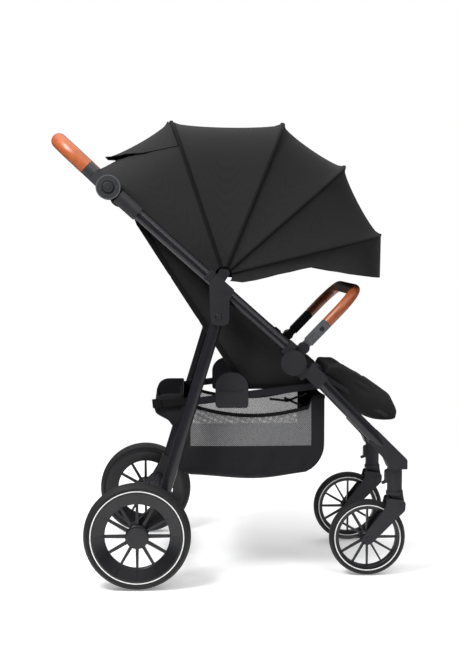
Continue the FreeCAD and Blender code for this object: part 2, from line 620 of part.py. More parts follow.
def rim(label, kind, side, x, y, dish):
    """Spoked rim: ring with a conical dish, round hub with its bore, and patterned spokes.

    On a deep dish each spoke goes on as a thin rib up the cone.
    """
    body = new_body(label)
    seat = cell(kind + "_wheel_od") / 2 - cell(kind + "_tyre_depth")
    half = cell(kind + "_tyre_width") / 2 - 3
    opening = cell(kind + "_opening") / 2
    hub_radius = cell(kind + "_hub_od") / 2
    lip = (seat - opening) * 0.2
    turned(body, [
        (seat, side * half, 0), (seat - lip, side * half, 1), (opening, side * (half - dish), 2),
        (opening, -side * (half - dish * 0.8), 2), (seat - lip, -side * half, 1), (seat, -side * half, 0),
    ])
    face = half + 2 if kind == "front" else half - 4
    turned(body, [
        (0, side * face, 0), (hub_radius - 5, side * face, 2), (hub_radius, side * (half - 5), 3),
        (hub_radius - 3, -side * (half - 1), 2), (0, -side * (half - 1), 0),
    ])
    width = cell("spoke_width") * (1 if kind == "rear" else 0.72)
    root = hub_radius * 0.7
    tip = opening + 1.5
    spoke = [(root, -width * 0.65, 0), (tip, -width * 0.5, 0), (tip, width * 0.5, 0), (root, width * 0.65, 0)]
    blade = slab(body, lambda s: outline(s, spoke), "0", "9")
    spokes = [blade]
    if kind == "rear":
        cone_foot = side * (half - dish)
        rib = [
            (opening - 1, cone_foot - side * 3, 0), (opening - 1, cone_foot + side * 1.4, 0),
            (seat - lip, side * (half + 0.4), 0), (seat - lip, side * (half - 3), 0),
        ]
        spokes.append(upright_rib(body, rib, "2"))
    pattern = body.newObject("PartDesign::PolarPattern", label + "_spokes")
    pattern.Originals = spokes
    axis = [item for item in body.Origin.OriginFeatures if item.Role == "Y_Axis"][0]
    pattern.Axis = (axis, [""])
    pattern.Angle = 360
    pattern.setExpression("Occurrences", "dims.spoke_count")
    body.Tip = pattern
    reach = half + 6
    inner_end = reach if kind == "front" else half - 9
    bore = rod(label + "_bore", f"dims.{kind}_axle_od + 2 * dims.running_gap",
               *across(0, 0, -side * reach, side * inner_end))
    keep(minus(label, body, [bore]), label, x, y, f"dims.{kind}_wheel_od / 2")


# ---------------------------------------------------------------- rear legs and axle

def rear_leg(name, side):
    y = side * half_frame
    start = aside(leg_pivot, y)
    end = aside(leg_foot, y)
    pipe = hollow_rod("rear_leg_tube_" + name, "dims.tube_od", "dims.tube_wall", start, end)
    eye_half = tube_radius - cell("eye_step")
    eye = rod("rear_leg_eye_" + name, "dims.leg_eye_od",
              *across(leg_pivot.x, leg_pivot.z, y - eye_half, y + eye_half))
    strut_y = side * (cell("strut_track") / 2 + cell("strut_width") / 2 + cell("side_gap"))
    wall_y = y - side * (tube_radius - cell("tube_wall"))
    boss = rod("rear_strut_boss_" + name, "18", aside(strut_rear, wall_y), aside(strut_rear, strut_y))
    whole = joined("rear_leg_solid_" + name, [pipe, eye, boss])
    bore = rod("rear_leg_bore_" + name, "dims.strut_pin_od + 2 * dims.running_gap",
               *across(leg_pivot.x, leg_pivot.z, y - 30, y + 30))
    keep(minus("rear_leg_" + name, whole, [bore]), "rear_leg_" + name)


def axle_place():
    """Centre of the cross tube between the rear legs, from the rear axle."""
    return Vector(38, 0, 42)


def axle_housing(name, side):
    """Moulded housing at the foot of the rear leg, with the stub axle of the rear wheel."""
    body = new_body("axle_housing_" + name)
    foot = Vector(cell("rear_leg_dx"), 0, cell("rear_leg_dz"))
    beside = Vector(-rear_down.z, 0, rear_down.x) * (socket_od / 2)
    top = along(foot, rear_down, -22)
    if beside.x < 0:
        beside = beside * -1
    profile = [
        flat(top - beside, 4), flat(top + beside, 4), flat(along(foot, rear_down, 16) + beside, 12),
        (34, 12, 14), (10, -20, 14), (-16, -16, 14), (-18, 12, 12),
        flat(along(foot, rear_down, 22) - beside, 14),
    ]
    slab(body, lambda s: outline(s, profile), "0", "dims.tube_od + 2 * dims.socket_wall")
    bore_top = along(foot, rear_down, -30)
    bore = rod("rear_foot_bore_" + name, "dims.tube_od + 2 * dims.fit_gap", bore_top, foot)
    tube_place = axle_place()
    socket = rod("axle_tube_bore_" + name, "dims.axle_tube_od + 2 * dims.fit_gap",
                 *across(tube_place.x, tube_place.z, -side * 30, side * 4.1))
    wheel_gap = cell("wheel_offset")
    stub_end = wheel_gap + cell("rear_tyre_width") / 2 - 3 - 9 - 0.5
    shoulder_end = wheel_gap - cell("rear_tyre_width") / 2 + 3.5
    stub = rod("rear_stub_" + name, "dims.rear_axle_od", *across(0, 0, side * 5, side * stub_end))
    shoulder = rod("rear_shoulder_" + name, "30", *across(0, 0, side * 5, side * shoulder_end))
    shell = minus("axle_housing_shell_" + name, body, [bore, socket])
    whole = joined("axle_housing_" + name, [shell, stub, shoulder])
    keep(whole, "axle_housing_" + name, "0", f"{side} * dims.frame_track / 2", "dims.rear_wheel_od / 2")


def rear_axle_tube():
    place = axle_place()
    reach = half_frame + 4
    start, end = across(place.x, place.z + cell("rear_wheel_od") / 2, -reach, reach)
    tube = hollow_rod("rear_axle_tube_solid", "dims.axle_tube_od", "dims.tube_wall", start, end)
    keep(tube, "rear_axle_tube")


def brake_pedal():
    """Foot pedal clipped round the axle tube: a split collar and a ribbed tread."""
    body = new_body("brake_pedal")
    collar_od = cell("axle_tube_od") + 10
    tread = [(-62, 8, 4), (-58, 17, 4), (-8, 18, 6), (4, 14, 4), (4, -13, 4), (-10, -14, 4), (-18, 5, 6)]
    slab(body, lambda s: outline(s, tread), "0", "112")
    slab(body, lambda s: circle(s, 0, 0, str(collar_od)), "0", "112")
    groove_count = 4
    for index in range(groove_count):
        x = -52 + 10 * index
        groove = [(x, 14.5, 0), (x + 4, 14.5, 0), (x + 4, 30, 0), (x, 30, 0)]
        slab(body, lambda s: outline(s, groove), "0", "92", cut=True)
    bore = rod("pedal_bore", "dims.axle_tube_od + 2 * dims.running_gap", *across(0, 0, -80, 80))
    place = axle_place()
    keep(minus("brake_pedal", body, [bore]), "brake_pedal",
         str(place.x), "0", f"dims.rear_wheel_od / 2 + {place.z}")


# ---------------------------------------------------------------- fold struts

def side_strut(name, side):
    """Flat link between the rear and the front leg, with a round eye at each end."""
    body = new_body("side_strut_" + name)
    reach = strut_front - strut_rear
    origin = Vector(0, 0, 0)
    bar = bar_outline(origin, reach, cell("strut_depth"), 1.5)
    slab(body, lambda s: outline(s, bar), "0", "dims.strut_width")
    slab(body, lambda s: circle(s, 0, 0, "dims.strut_depth + 6"), "0", "dims.strut_width")
    slab(body, lambda s: circle(s, reach.x, reach.z, "dims.strut_depth + 6"), "0", "dims.strut_width")
    eye = "dims.strut_pin_od + 2 * dims.running_gap"
    slab(body, lambda s: circle(s, reach.x, reach.z, eye), "0", "dims.strut_width + 4", cut=True)
    rivet = rod("strut_rivet_" + name, "16", *across(0, 0, -side * (cell("strut_width") / 2 + 2.5), 0))
    whole = joined("side_strut_" + name, [body, rivet])
    keep(whole, "side_strut_" + name, str(strut_rear.x), f"{side} * dims.strut_track / 2", str(strut_rear.z))


def strut_arches():
    """Pair of round-topped plates over the middle of the struts."""
    parts = []
    middle = strut_rear + (strut_front - strut_rear) * 0.305
    depth = cell("strut_depth") / 2
    for name, side in SIDES.items():
        body = new_body("strut_arch_" + name)
        width = cell("arch_width") / 2
        height = cell("arch_height")
        top = height - 26
        plate = [(-width, -26, 8), (width, -26, 8), (width, top, width - 2), (-width, top, width - 2)]
        slab(body, lambda s: outline(s, plate), "0", "dims.strut_width + 2 * dims.arch_overhang")
        slot_depth = cell("strut_depth") + 2 * cell("fit_gap")
        slot = bar_outline(strut_rear - middle, strut_front - middle, slot_depth, 0)
        slab(body, lambda s: outline(s, slot), "0", "dims.strut_width + 2 * dims.fit_gap", cut=True)
        edge = width - 9
        inner = [(-edge, 14, 4), (edge, 14, 4), (edge, top - 9, edge - 3), (-edge, top - 9, edge - 3)]
        recess = f"{side} * (dims.strut_width / 2 + dims.arch_overhang)"
        slab(body, lambda s: outline(s, inner), recess, "3", cut=True)
        body.setExpression("Placement.Base.y", f"{side} * dims.strut_track / 2")
        parts.append(body)
    pair = doc.addObject("Part::Compound", "strut_arches")
    pair.Links = parts
    keep(pair, "strut_arches", str(middle.x), "0", str(middle.z))


def basket():
    """Shopping basket: open-topped fabric tub with a raised pocket behind the legs."""
    body = new_body("basket_fabric")
    floor = cell("basket_floor")
    rim_z = cell("basket_rim")
    outer = [
        (120, floor, 36), (447, floor, 62), (447, rim_z, 0), (170, rim_z - 4, 0),
        (96, 474, 22), (56, 474, 14), (34, 416, 6), (74, 372, 18),
    ]
    across_arches = "(dims.strut_track - dims.strut_width - 2 * dims.arch_overhang - 2 * dims.fit_gap)"
    slab(body, lambda s: outline(s, outer), "0", across_arches)
    wall = cell("basket_wall")
    inner = [
        (120 + wall, floor + wall, 33), (447 - wall, floor + wall, 59), (447 - wall, 520, 0),
        (56 + wall, 520, 0), (34 + 1.6 * wall, 416, 4), (74 + wall, 372, 16),
    ]
    slab(body, lambda s: outline(s, inner), "0", across_arches + " - 2 * dims.basket_wall", cut=True)
    keep(body, "basket_fabric")


# ---------------------------------------------------------------- seat

def hinge_barrels(body, x, z, spans):
    """Round hinge barrels on an axis across the seat, at each (middle, width)."""
    for middle, width in spans:
        slab(body, lambda s: circle(s, x, z, "dims.barrel_od"), str(middle), str(width))


def seat_frame():
    """Seat board with raised side flanges, two arms to the knuckles, and the hinge barrels."""
    body = new_body("seat_frame")
    half = cell("seat_width") / 2
    front = cell("rest_x")
    back = cell("recline_x")
    top = cell("seat_top") - cell("cushion_thickness") - 4
    board = cell("board_thickness")
    deck = [
        (back + 12, top - board, 3), (front - 10, top - board, 5), (front - 10, top, 2), (back + 12, top, 2),
    ]
    slab(body, lambda s: outline(s, deck), "0", "dims.seat_width")
    flange = [
        (back + 14, top - board, 4), (front - 16, top - board, 4), (front - 16, top + 22, 12),
        (fold.x + 20, fold.z + 20, 14), (fold.x - 24, fold.z + 20, 14), (back + 14, top + 12, 6),
    ]
    ear_span = 26
    inset = half - ear_span / 2
    for side in SIDES.values():
        slab(body, lambda s: outline(s, flange), f"{side} * (dims.seat_width / 2 + 3)", "6")
        for x, z in ((back, cell("recline_z")), (front, cell("rest_z"))):
            hinge_barrels(body, x, z, [(side * inset, ear_span)])
            inward = 18 if x == back else -18
            link = bar_outline(Vector(x, 0, z), Vector(x + inward, 0, top - board / 2), 9, 1)
            slab(body, lambda s: outline(s, link), str(side * inset), str(ear_span))
    inner_face = half_frame - half_width("socket")
    arms = []
    for name, side in SIDES.items():
        ends = across(fold.x, fold.z, side * (half + 2), side * inner_face)
        arms.append(rod("seat_arm_" + name, "24", *ends))
    bores = []
    for x, z in ((back, cell("recline_z")), (front, cell("rest_z"))):
        ends = across(x, z, -half - 1, half + 1)
        bores.append(rod("seat_hinge_bore", "dims.hinge_pin_od + 2 * dims.running_gap", *ends))
    whole = joined("seat_frame_solid", [body] + arms)
    keep(minus("seat_frame", whole, bores), "seat_frame")


def padded_block(name, length, width, thickness, radius):
    """Soft pad with rounded edges, lying in its own XY plane with its base at z = 0."""
    block = doc.addObject("Part::Box", name + "_block")
    block.Length = length
    block.Width = width
    block.Height = thickness
    block.Placement = Placement(Vector(0, -width / 2, 0), Rotation())
    doc.recompute()
    pad = doc.addObject("Part::Fillet", name)
    pad.Base = block
    pad.Edges = [(index + 1, radius, radius) for index in range(len(block.Shape.Edges))]
    return pad


def seat_cushion():
    depth = cell("rest_x") - cell("recline_x") - 36
    pad = padded_block("seat_cushion", depth, cell("seat_width") - 3, cell("cushion_thickness"), 12)
    base = "dims.seat_top - dims.cushion_thickness - 3.7"
    keep(pad, "seat_cushion", "dims.recline_x + 14", "0", base)


def seat_sides():
    """Fabric side walls of the seat, sewn down from the main tubes to the seat board."""
    parts = []
    lean = polar(180 - cell("back_angle"))
    hinge = Vector(cell("recline_x"), 0, cell("recline_z"))
    back_low = hinge + Vector(-6, 0, -16)
    back_high = along(hinge + Vector(-14, 0, -6), lean, cell("back_length") - 6)
    top = along(hub, tube_up, -58)
    front = along(tube_foot, tube_up, 6)
    wall = [
        flat(back_high, 8), flat(back_low, 12), (cell("rest_x") - 22, cell("recline_z") - 16, 14),
        (cell("rest_x") - 14, cell("rest_z") + 24, 10), flat(front, 16), flat(top, 10),
    ]
    for name, side in SIDES.items():
        body = new_body("seat_side_" + name)
        slab(body, lambda s: outline(s, wall), f"{side} * dims.side_track / 2", "dims.side_thickness")
        arm_hole = "24 + 4 * dims.side_gap"
        middle = f"{side} * dims.side_track / 2"
        slab(body, lambda s: circle(s, fold.x, fold.z, arm_hole), middle, "20", cut=True)
        parts.append(body)
    pair = doc.addObject("Part::Compound", "seat_sides")
    pair.Links = parts
    keep(pair, "seat_sides")


def crotch_buckle():
    """Harness buckle, lying on the cushion on its short crotch strap."""
    body = new_body("crotch_buckle")
    strap = [(0, 0, 0), (3, 0, 0), (3, 6, 0), (12, 6, 0), (12, 9, 0), (0, 9, 2)]
    slab(body, lambda s: outline(s, strap), "0", "dims.strap_width - 8")
    shell = [(9, 1, 3), (44, 1, 4), (40, 16, 6), (11, 16, 6)]
    slab(body, lambda s: outline(s, shell), "0", "dims.strap_width + 10")
    release = [(19, 12, 1), (32, 12, 1), (31, 18.5, 2), (20, 18.5, 2)]
    slab(body, lambda s: outline(s, release), "0", "16")
    keep(body, "crotch_buckle", "dims.recline_x + 100", "0", "dims.seat_top - 3.4")


def backrest_turn():
    return Rotation(Vector(0, 1, 0), -(180 - cell("back_angle")))


def backrest():
    """Backrest board with its hinge pin, the pad in front of it and the harness straps.

    Each is drawn lying along X from the recline hinge, with +Z towards the back, and then leaned.
    """
    body = new_body("backrest_frame")
    board = cell("board_thickness")
    half = cell("seat_width") / 2
    length = cell("back_length")
    sheet_outline = [(16, 0, 2), (length, 0, 3), (length, board, 3), (16, board, 2)]
    slab(body, lambda s: outline(s, sheet_outline), "0", "dims.seat_width - 4")
    ear = 26
    inner = cell("seat_width") - 2 * ear - 2 * cell("side_gap")
    hinge_barrels(body, 0, 0, [(0, inner)])
    slab(body, lambda s: outline(s, [(0, -5, 1), (20, 0, 1), (20, board, 1), (0, 5, 1)]), "0", str(inner))
    for index in range(3):
        x = 110 + index * 110
        window = [(x, -20, 0), (x + 70, -20, 0), (x + 70, 40, 0), (x, 40, 0)]
        slab(body, lambda s: outline(s, window), "0", "dims.seat_width - 120", cut=True)
    pin = rod("recline_pin", "dims.hinge_pin_od", *across(0, 0, -half + 2, half - 2))
    keep(joined("backrest_frame", [body, pin]), "backrest_frame",
         "dims.recline_x", "0", "dims.recline_z", backrest_turn())
    thickness = cell("back_pad")
    pad = padded_block("backrest_pad_flat", length - 50, cell("seat_width") - 12, thickness, 11)
    pad.Placement = Placement(Vector(48, 0, -thickness - 0.3), Rotation())
    lifted = doc.addObject("Part::Compound", "backrest_pad")
    lifted.Links = [pad]
    keep(lifted, "backrest_pad", "dims.recline_x", "0", "dims.recline_z", backrest_turn())
    straps = []
    for side in SIDES.values():
        strap = doc.addObject("Part::Box", "shoulder_strap")
        strap.setExpression("Length", "260")
        strap.setExpression("Width", "dims.strap_width")
        strap.setExpression("Height", "dims.strap_thickness")
        low = -thickness - 0.6 - cell("strap_thickness")
        strap.Placement = Placement(Vector(120, side * 62 - cell("strap_width") / 2, low), Rotation())
        straps.append(strap)
    pair = doc.addObject("Part::Compound", "shoulder_straps")
    pair.Links = straps
    keep(pair, "shoulder_straps", "dims.recline_x", "0", "dims.recline_z", backrest_turn())


def leg_rest():
    """Calf rest: board with its hinge pin inside a thick pad, drawn along X and tilted down."""
    tilt = Rotation(Vector(0, 1, 0), cell("rest_angle"))
    body = new_body("leg_rest_board")
    length = cell("rest_length")
    half = cell("seat_width") / 2
    board = cell("board_thickness") - 2
    plate = [(12, -14, 2), (length - 8, -14, 4), (length - 4, -4, 4), (12, -4, 2)]
    slab(body, lambda s: outline(s, plate), "0", "dims.seat_width - 34")
    ear = 26
    inner = cell("seat_width") - 2 * ear - 2 * cell("side_gap")
    hinge_barrels(body, 0, 0, [(0, inner)])
    slab(body, lambda s: outline(s, [(0, -6, 1), (20, -14, 1), (20, -4, 1), (0, 5, 1)]), "0", str(inner))
    pin = rod("rest_pin", "dims.hinge_pin_od", *across(0, 0, -half + 2, half - 2))
    keep(joined("leg_rest_board", [body, pin]), "leg_rest_board", "dims.rest_x", "0", "dims.rest_z", tilt)
    pad = new_body("leg_rest_pad")
    top = cell("rest_pad") - 3.7
    under = -cell("rest_belly")
    tip = length + 4
    profile = [
        (21, -3.7, 0), (21, top - 1, 8), (74, top, 60), (tip, top - 3, 24), (tip, under + 12, 20),
        (148, under, 40), (94, under, 20), (56, -14.3, 8), (44, -14.3, 0), (44, -3.7, 0),
    ]
    slab(pad, lambda s: outline(s, profile), "0", "dims.seat_width - 22")
    slot = [(12, -14.3, 0), (length - 3.7, -14.3, 4), (length - 3.7, -3.7, 4), (12, -3.7, 0)]
    slab(pad, lambda s: outline(s, slot), "0", "dims.seat_width - 33.4", cut=True)
    keep(pad, "leg_rest_pad", "dims.rest_x", "0", "dims.rest_z", tilt)


# ---------------------------------------------------------------- canopy

def hoop_points(half, reach, corner, rise, low):
    """Points of an open hoop: up one side, round both corners and over a slightly arched crown."""
    corner_steps = 4
    crown_steps = 2
    shoulder = reach - corner - rise
    side = [Vector(0, half, low)]
    for step in range(corner_steps + 1):
        turn = math.radians(90 * step / corner_steps)
        side.append(Vector(0, half - corner + corner * math.cos(turn), shoulder + corner * math.sin(turn)))
    width = half - corner
    for step in range(1, crown_steps + 1):
        share = step / crown_steps
        side.append(Vector(0, width * (1 - share), reach - rise * (1 - share) ** 2))
    return side + [Vector(0, -point.y, point.z) for point in reversed(side[:-1])]


def hoop_band(half, reach, corner, rise, low, thickness):
    """Closed section of a hoop: the outer line, back along the inner line."""
    outer = hoop_points(half, reach, corner, rise, low)
    inner = hoop_points(half - thickness, reach - thickness, corner - thickness, rise, low)
    return Part.makePolygon(outer + inner[::-1] + outer[:1])


def canopy_turn(angle):
    """Rotation that leans the upright hoop to its angle above the forward direction."""
    return Rotation(Vector(0, 1, 0), 90 - angle)


def canopy_rib(label, layer, angle):
    """Flat hoop with a round eye at each end, in its own layer on the canopy pins."""
    half = cell("rib_outer_half") - layer * cell("rib_pitch")
    thickness = cell("rib_thickness")
    width = cell("rib_width")
    band = hoop_band(half, cell("canopy_reach") - 6, cell("rib_corner"), cell("crown_rise"), 0, thickness)
    face = Part.Face(band)
    face.translate(Vector(-width / 2, 0, 0))
    solid = face.extrude(Vector(width, 0, 0))
    for side in SIDES.values():
        inner = side * (half - thickness)
        start = min(side * half, inner)
        eye = Part.makeCylinder(width * 0.9, thickness, Vector(0, start, 0), Vector(0, 1, 0))
        solid = solid.fuse(eye)
    hole_radius = cell("canopy_pin_od") / 2 + cell("running_gap")
    hole = Part.makeCylinder(hole_radius, 3 * half, Vector(0, -1.5 * half, 0), Vector(0, 1, 0))
    rib = doc.addObject("Part::Feature", label)
    rib.Shape = solid.cut(hole).removeSplitter()
    rib.Placement = Placement(Vector(0, 0, 0), canopy_turn(angle))
    keep(rib, label, "dims.canopy_x", "0", "dims.canopy_z")


def canopy_fabric():
    """Fan of sewn gores over the ribs: hoop sections lofted between the rib angles."""
    half = cell("rib_outer_half") + 0.5 + cell("canopy_skin")
    reach = cell("canopy_reach")
    rib_angles = [cell("canopy_front_angle"), cell("front_rib_angle"), cell("third_rib_angle"),
                  cell("second_rib_angle"), cell("rear_rib_angle"), cell("canopy_back_angle")]
    rib_reach = [reach - 22, reach, reach, reach, reach, reach + 6]
    sections = []
    steps = 2
    for index in range(len(rib_angles) - 1):
        first, second = rib_angles[index], rib_angles[index + 1]
        opening = math.radians(second - first)
        for step in range(steps if index < len(rib_angles) - 2 else steps + 1):
            share = step / steps
            angle = first + (second - first) * share
            line = rib_reach[index] + (rib_reach[index + 1] - rib_reach[index]) * share
            bow = 4 * share * (1 - share)
            chord = math.cos(opening / 2) / math.cos(opening * (share - 0.5))
            sag = 1 - bow * (1 - cell("gore_sag")) * opening / 0.7
            sections.append((angle, line * (chord if index else 1) * sag))
    wires = []
    for angle, radius in sections:
        wire = hoop_band(half, radius, cell("rib_corner") + 3, cell("crown_rise"), 34, cell("canopy_skin"))
        wire.rotate(Vector(0, 0, 0), Vector(0, 1, 0), 90 - angle)
        wires.append(wire)
    fabric = doc.addObject("Part::Feature", "canopy_fabric")
    fabric.Shape = Part.makeLoft(wires, True, True)
    keep(fabric, "canopy_fabric", "dims.canopy_x", "0", "dims.canopy_z")


# ---------------------------------------------------------------- bumper bar

def bumper():
    """Removable bar in front of the child: end blocks, steel bar and the stitched cover."""
    tilt = Rotation(Vector(0, 1, 0), -cell("bumper_angle"))
    width = cell("bumper_end_width")
    half = half_frame - half_width("socket") - width / 2
    start = cell("bumper_end_length")
    place = ("dims.bumper_x", "0", "dims.bumper_z", tilt)
    form = (cell("bumper_reach"), half, cell("bumper_corner"))
    bar = bent_bar("bumper_bar", *form, "dims.bumper_bar_od", start=30)
    keep(bar, "bumper_bar", *place)
    inside = "dims.bumper_bar_od + 2 * dims.fit_gap"
    cover = bent_bar("bumper_cover", *form, "dims.bumper_cover_od", inside, start=start)
    keep(cover, "bumper_cover", *place)
    parts = []
    for name, side in SIDES.items():
        body = new_body("bumper_end_" + name)
        block = [(16, -11.5, 3), (start - 0.4, -11.5, 2), (start - 0.4, 11.5, 2), (16, 11.5, 3)]
        y = side * half
        slab(body, lambda s: outline(s, block), str(y), "dims.bumper_end_width")
        slab(body, lambda s: circle(s, 0, 0, "24"), str(y), "dims.bumper_end_width - 2")
        neck = [(0, -9, 1), (24, -9, 1), (24, 9, 1), (0, 9, 1)]
        slab(body, lambda s: outline(s, neck), str(y), "dims.bumper_end_width - 2")
        outer_face = str(side * (half + width / 2))
        for slot_x in (26, 33, 40):
            slot = [(slot_x, -8, 1.2), (slot_x + 3, -8, 1.2), (slot_x + 3, 8, 1.2), (slot_x, 8, 1.2)]
            slab(body, lambda s: outline(s, slot), outer_face, "3", cut=True)
        slab(body, lambda s: circle(s, 62, 0, "12"), outer_face, "2", cut=True)
        bore = rod("bumper_end_bore_" + name, inside,
                   Vector(29.9, y, 0), Vector(start + 5, y, 0))
        eye = rod("bumper_end_eye_" + name, "12 + 2 * dims.running_gap", *across(0, 0, y - 40, y + 40))
        parts.append(minus("bumper_end_solid_" + name, body, [bore, eye]))
    pair = doc.addObject("Part::Compound", "bumper_ends")
    pair.Links = parts
    keep(pair, "bumper_ends", *place)


# ---------------------------------------------------------------- build

for side_name, side_sign in SIDES.items():
    front_y = f"{side_sign} * dims.front_track / 2"
    rear_y = f"{side_sign} * (dims.frame_track / 2 + dims.wheel_offset)"
    main_tube(side_name, side_sign)
    hub_socket(side_name, side_sign)
    leg_bracket(side_name, side_sign)
    fold_knuckle(side_name, side_sign)
    hub_cap(side_name, side_sign)
    hub_button(side_name, side_sign)
    front_leg(side_name, side_sign)
    caster_housing(side_name, side_sign)
    caster_head(side_name, side_sign)
    caster_fork(side_name, side_sign)
    tyre("front_tyre_" + side_name, "front", side_sign, "dims.wheelbase", front_y)
    rim("front_rim_" + side_name, "front", side_sign, "dims.wheelbase", front_y, 2)
    tyre("rear_tyre_" + side_name, "rear", side_sign, "0", rear_y)
    rim("rear_rim_" + side_name, "rear", side_sign, "0", rear_y, 13)
    rear_leg(side_name, side_sign)
    axle_housing(side_name, side_sign)
    side_strut(side_name, side_sign)

canopy_mounts()
handle()
leg_knuckles()
front_cross_tube()
rear_axle_tube()
brake_pedal()
strut_arches()
basket()
seat_frame()
seat_cushion()
seat_sides()
crotch_buckle()
backrest()
leg_rest()
canopy_rib("canopy_rib_rear", 0, cell("rear_rib_angle"))
canopy_rib("canopy_rib_second", 1, cell("second_rib_angle"))
canopy_rib("canopy_rib_third", 2, cell("third_rib_angle"))
canopy_rib("canopy_rib_front", 3, cell("front_rib_angle"))
canopy_fabric()
bumper()

doc.recompute()
for item in doc.Objects:
    if "Invalid" in item.State or "Error" in item.State:
        raise RuntimeError(f"{item.Label} did not build: {item.State}")
for node in nodes:
    if node.Shape.isNull() or not node.Shape.isValid() or not node.Shape.Solids:
        raise RuntimeError(f"{node.Label} has no valid shape")

os.makedirs("parts", exist_ok=True)
for node in nodes:
    node.Shape.exportStep(f"parts/{node.Label}.step")
print(len(nodes), "nodes written")
places = {
    "tube foot": tube_foot, "front foot": front_foot, "strut rear": strut_rear, "strut front": strut_front,
}
for title, point in places.items():
    print(title, round(point.x, 2), round(point.z, 2))
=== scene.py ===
# %% [markdown]
# # A folding baby stroller
# The rigid frame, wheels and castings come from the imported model, already in place. This lesson gives each
# of them a finish, and makes the soft goods, which a solid modeller can't do well: the canopy, the seat,
# the pads, the basket, the leather and the webbing. Lengths are in metres, +X is forward and +Z is up.

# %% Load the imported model
import json
import math

import bmesh
import bpy
from mathutils import Matrix, Vector


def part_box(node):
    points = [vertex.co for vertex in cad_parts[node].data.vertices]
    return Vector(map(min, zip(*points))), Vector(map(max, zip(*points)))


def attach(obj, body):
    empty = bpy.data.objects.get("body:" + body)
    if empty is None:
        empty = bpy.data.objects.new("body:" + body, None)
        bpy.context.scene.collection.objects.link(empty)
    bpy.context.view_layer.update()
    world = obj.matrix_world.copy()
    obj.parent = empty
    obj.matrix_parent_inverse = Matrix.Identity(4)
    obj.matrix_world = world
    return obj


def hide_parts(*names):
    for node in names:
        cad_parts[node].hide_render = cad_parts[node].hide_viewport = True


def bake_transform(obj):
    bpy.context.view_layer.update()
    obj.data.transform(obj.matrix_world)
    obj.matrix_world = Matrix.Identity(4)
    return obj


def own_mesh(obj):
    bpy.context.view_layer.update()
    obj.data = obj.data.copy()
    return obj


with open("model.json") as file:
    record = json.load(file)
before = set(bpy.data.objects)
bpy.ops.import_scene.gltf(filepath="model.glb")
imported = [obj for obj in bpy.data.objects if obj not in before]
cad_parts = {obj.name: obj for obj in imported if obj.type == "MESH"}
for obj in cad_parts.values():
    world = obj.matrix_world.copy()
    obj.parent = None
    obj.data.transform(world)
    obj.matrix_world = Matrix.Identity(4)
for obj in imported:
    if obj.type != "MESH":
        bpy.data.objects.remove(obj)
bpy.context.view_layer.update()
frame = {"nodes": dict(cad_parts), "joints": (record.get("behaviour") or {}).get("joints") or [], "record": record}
joints = {joint["name"]: joint for joint in frame["joints"]}
SIDES = {"left": 1, "right": -1}


def joint_place(name):
    """Where a joint's axis is, at rest."""
    return Vector(joints[name]["pos_m"])


def middle_of(name):
    """Middle of a CAD node's box."""
    low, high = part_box(name)
    return (Vector(low) + Vector(high)) / 2


def toward(angle):
    """Direction in the side view, at an angle in degrees up from the front."""
    return Vector((math.cos(math.radians(angle)), 0, math.sin(math.radians(angle))))


def quarter_turn(direction):
    """A side-view direction after a quarter turn, the way that takes the front to the top."""
    return Vector((-direction.z, 0, direction.x))


# %% [markdown]
# ## Finishes
# Every finish is built from noise, cells and waves on object coordinates. It needs no picture, has no seam
# where a flat picture would wrap round a tube, and stays put when a piece moves. Small helpers add a node and
# join it up, and give back the socket that holds its result, which keeps each recipe short.

# %% Helpers for materials
def feed(tree, socket, source):
    """Joins a socket to another node's output, or gives it a plain value."""
    if isinstance(source, bpy.types.NodeSocket):
        tree.links.new(source, socket)
    else:
        socket.default_value = source


def add_node(tree, kind, settings=(), **sources):
    """Adds a node. settings are its own choices, and sources what goes into its sockets, by name."""
    item = tree.nodes.new(kind)
    for key, value in dict(settings).items():
        setattr(item, key, value)
    for key, source in sources.items():
        feed(tree, item.inputs[key.replace("_", " ")], source)
    return item


def noise(tree, place, scale, detail=2.0, roughness=0.5):
    """Cloudy pattern from 0 to 1. A larger scale makes it finer."""
    item = add_node(tree, "ShaderNodeTexNoise", Vector=place, Scale=scale, Detail=detail, Roughness=roughness)
    return item.outputs[0]


def maths(tree, operation, *values):
    """Result of a Math node on one to three values."""
    item = add_node(tree, "ShaderNodeMath", {"operation": operation})
    for socket, value in zip(item.inputs, values):
        feed(tree, socket, value)
    return item.outputs[0]


def spread(tree, value, low, high, start=0.0, end=1.0):
    """Maps the range from start to end onto the one from low to high."""
    item = add_node(tree, "ShaderNodeMapRange", Value=value, From_Min=start, From_Max=end,
                    To_Min=low, To_Max=high)
    return item.outputs[0]


def times(tree, colour, factor):
    """A colour made lighter or darker by a factor that may vary."""
    item = add_node(tree, "ShaderNodeVectorMath", {"operation": "SCALE"}, Vector=colour, Scale=factor)
    return item.outputs[0]


def darker(colour, share):
    """A plain colour times a share, lighter where the share is over 1."""
    return tuple(part * share for part in colour)


def colour_between(tree, factor, first, second):
    """Colour that goes from first to second as factor goes from 0 to 1."""
    mix = add_node(tree, "ShaderNodeMix", {"data_type": "RGBA"}, Factor=factor)
    ends = [socket for socket in mix.inputs if socket.type == "RGBA"]
    for socket, colour in zip(ends, (first, second)):
        feed(tree, socket, (*colour, 1) if isinstance(colour, tuple) else colour)
    return next(socket for socket in mix.outputs if socket.type == "RGBA")


def blank_finish(name, colour, roughness, **plain):
    """New material. Returns it, its node tree, its Principled shader and the object coordinates."""
    material = bpy.data.materials.new(name)
    material.use_nodes = True
    tree = material.node_tree
    shader = next(item for item in tree.nodes if item.type == "BSDF_PRINCIPLED")
    shader.inputs["Base Color"].default_value = (*colour, 1)
    shader.inputs["Roughness"].default_value = roughness
    for key, value in plain.items():
        shader.inputs[key.replace("_", " ")].default_value = value
    place = tree.nodes.new("ShaderNodeTexCoord").outputs["Object"]
    return material, tree, shader, place


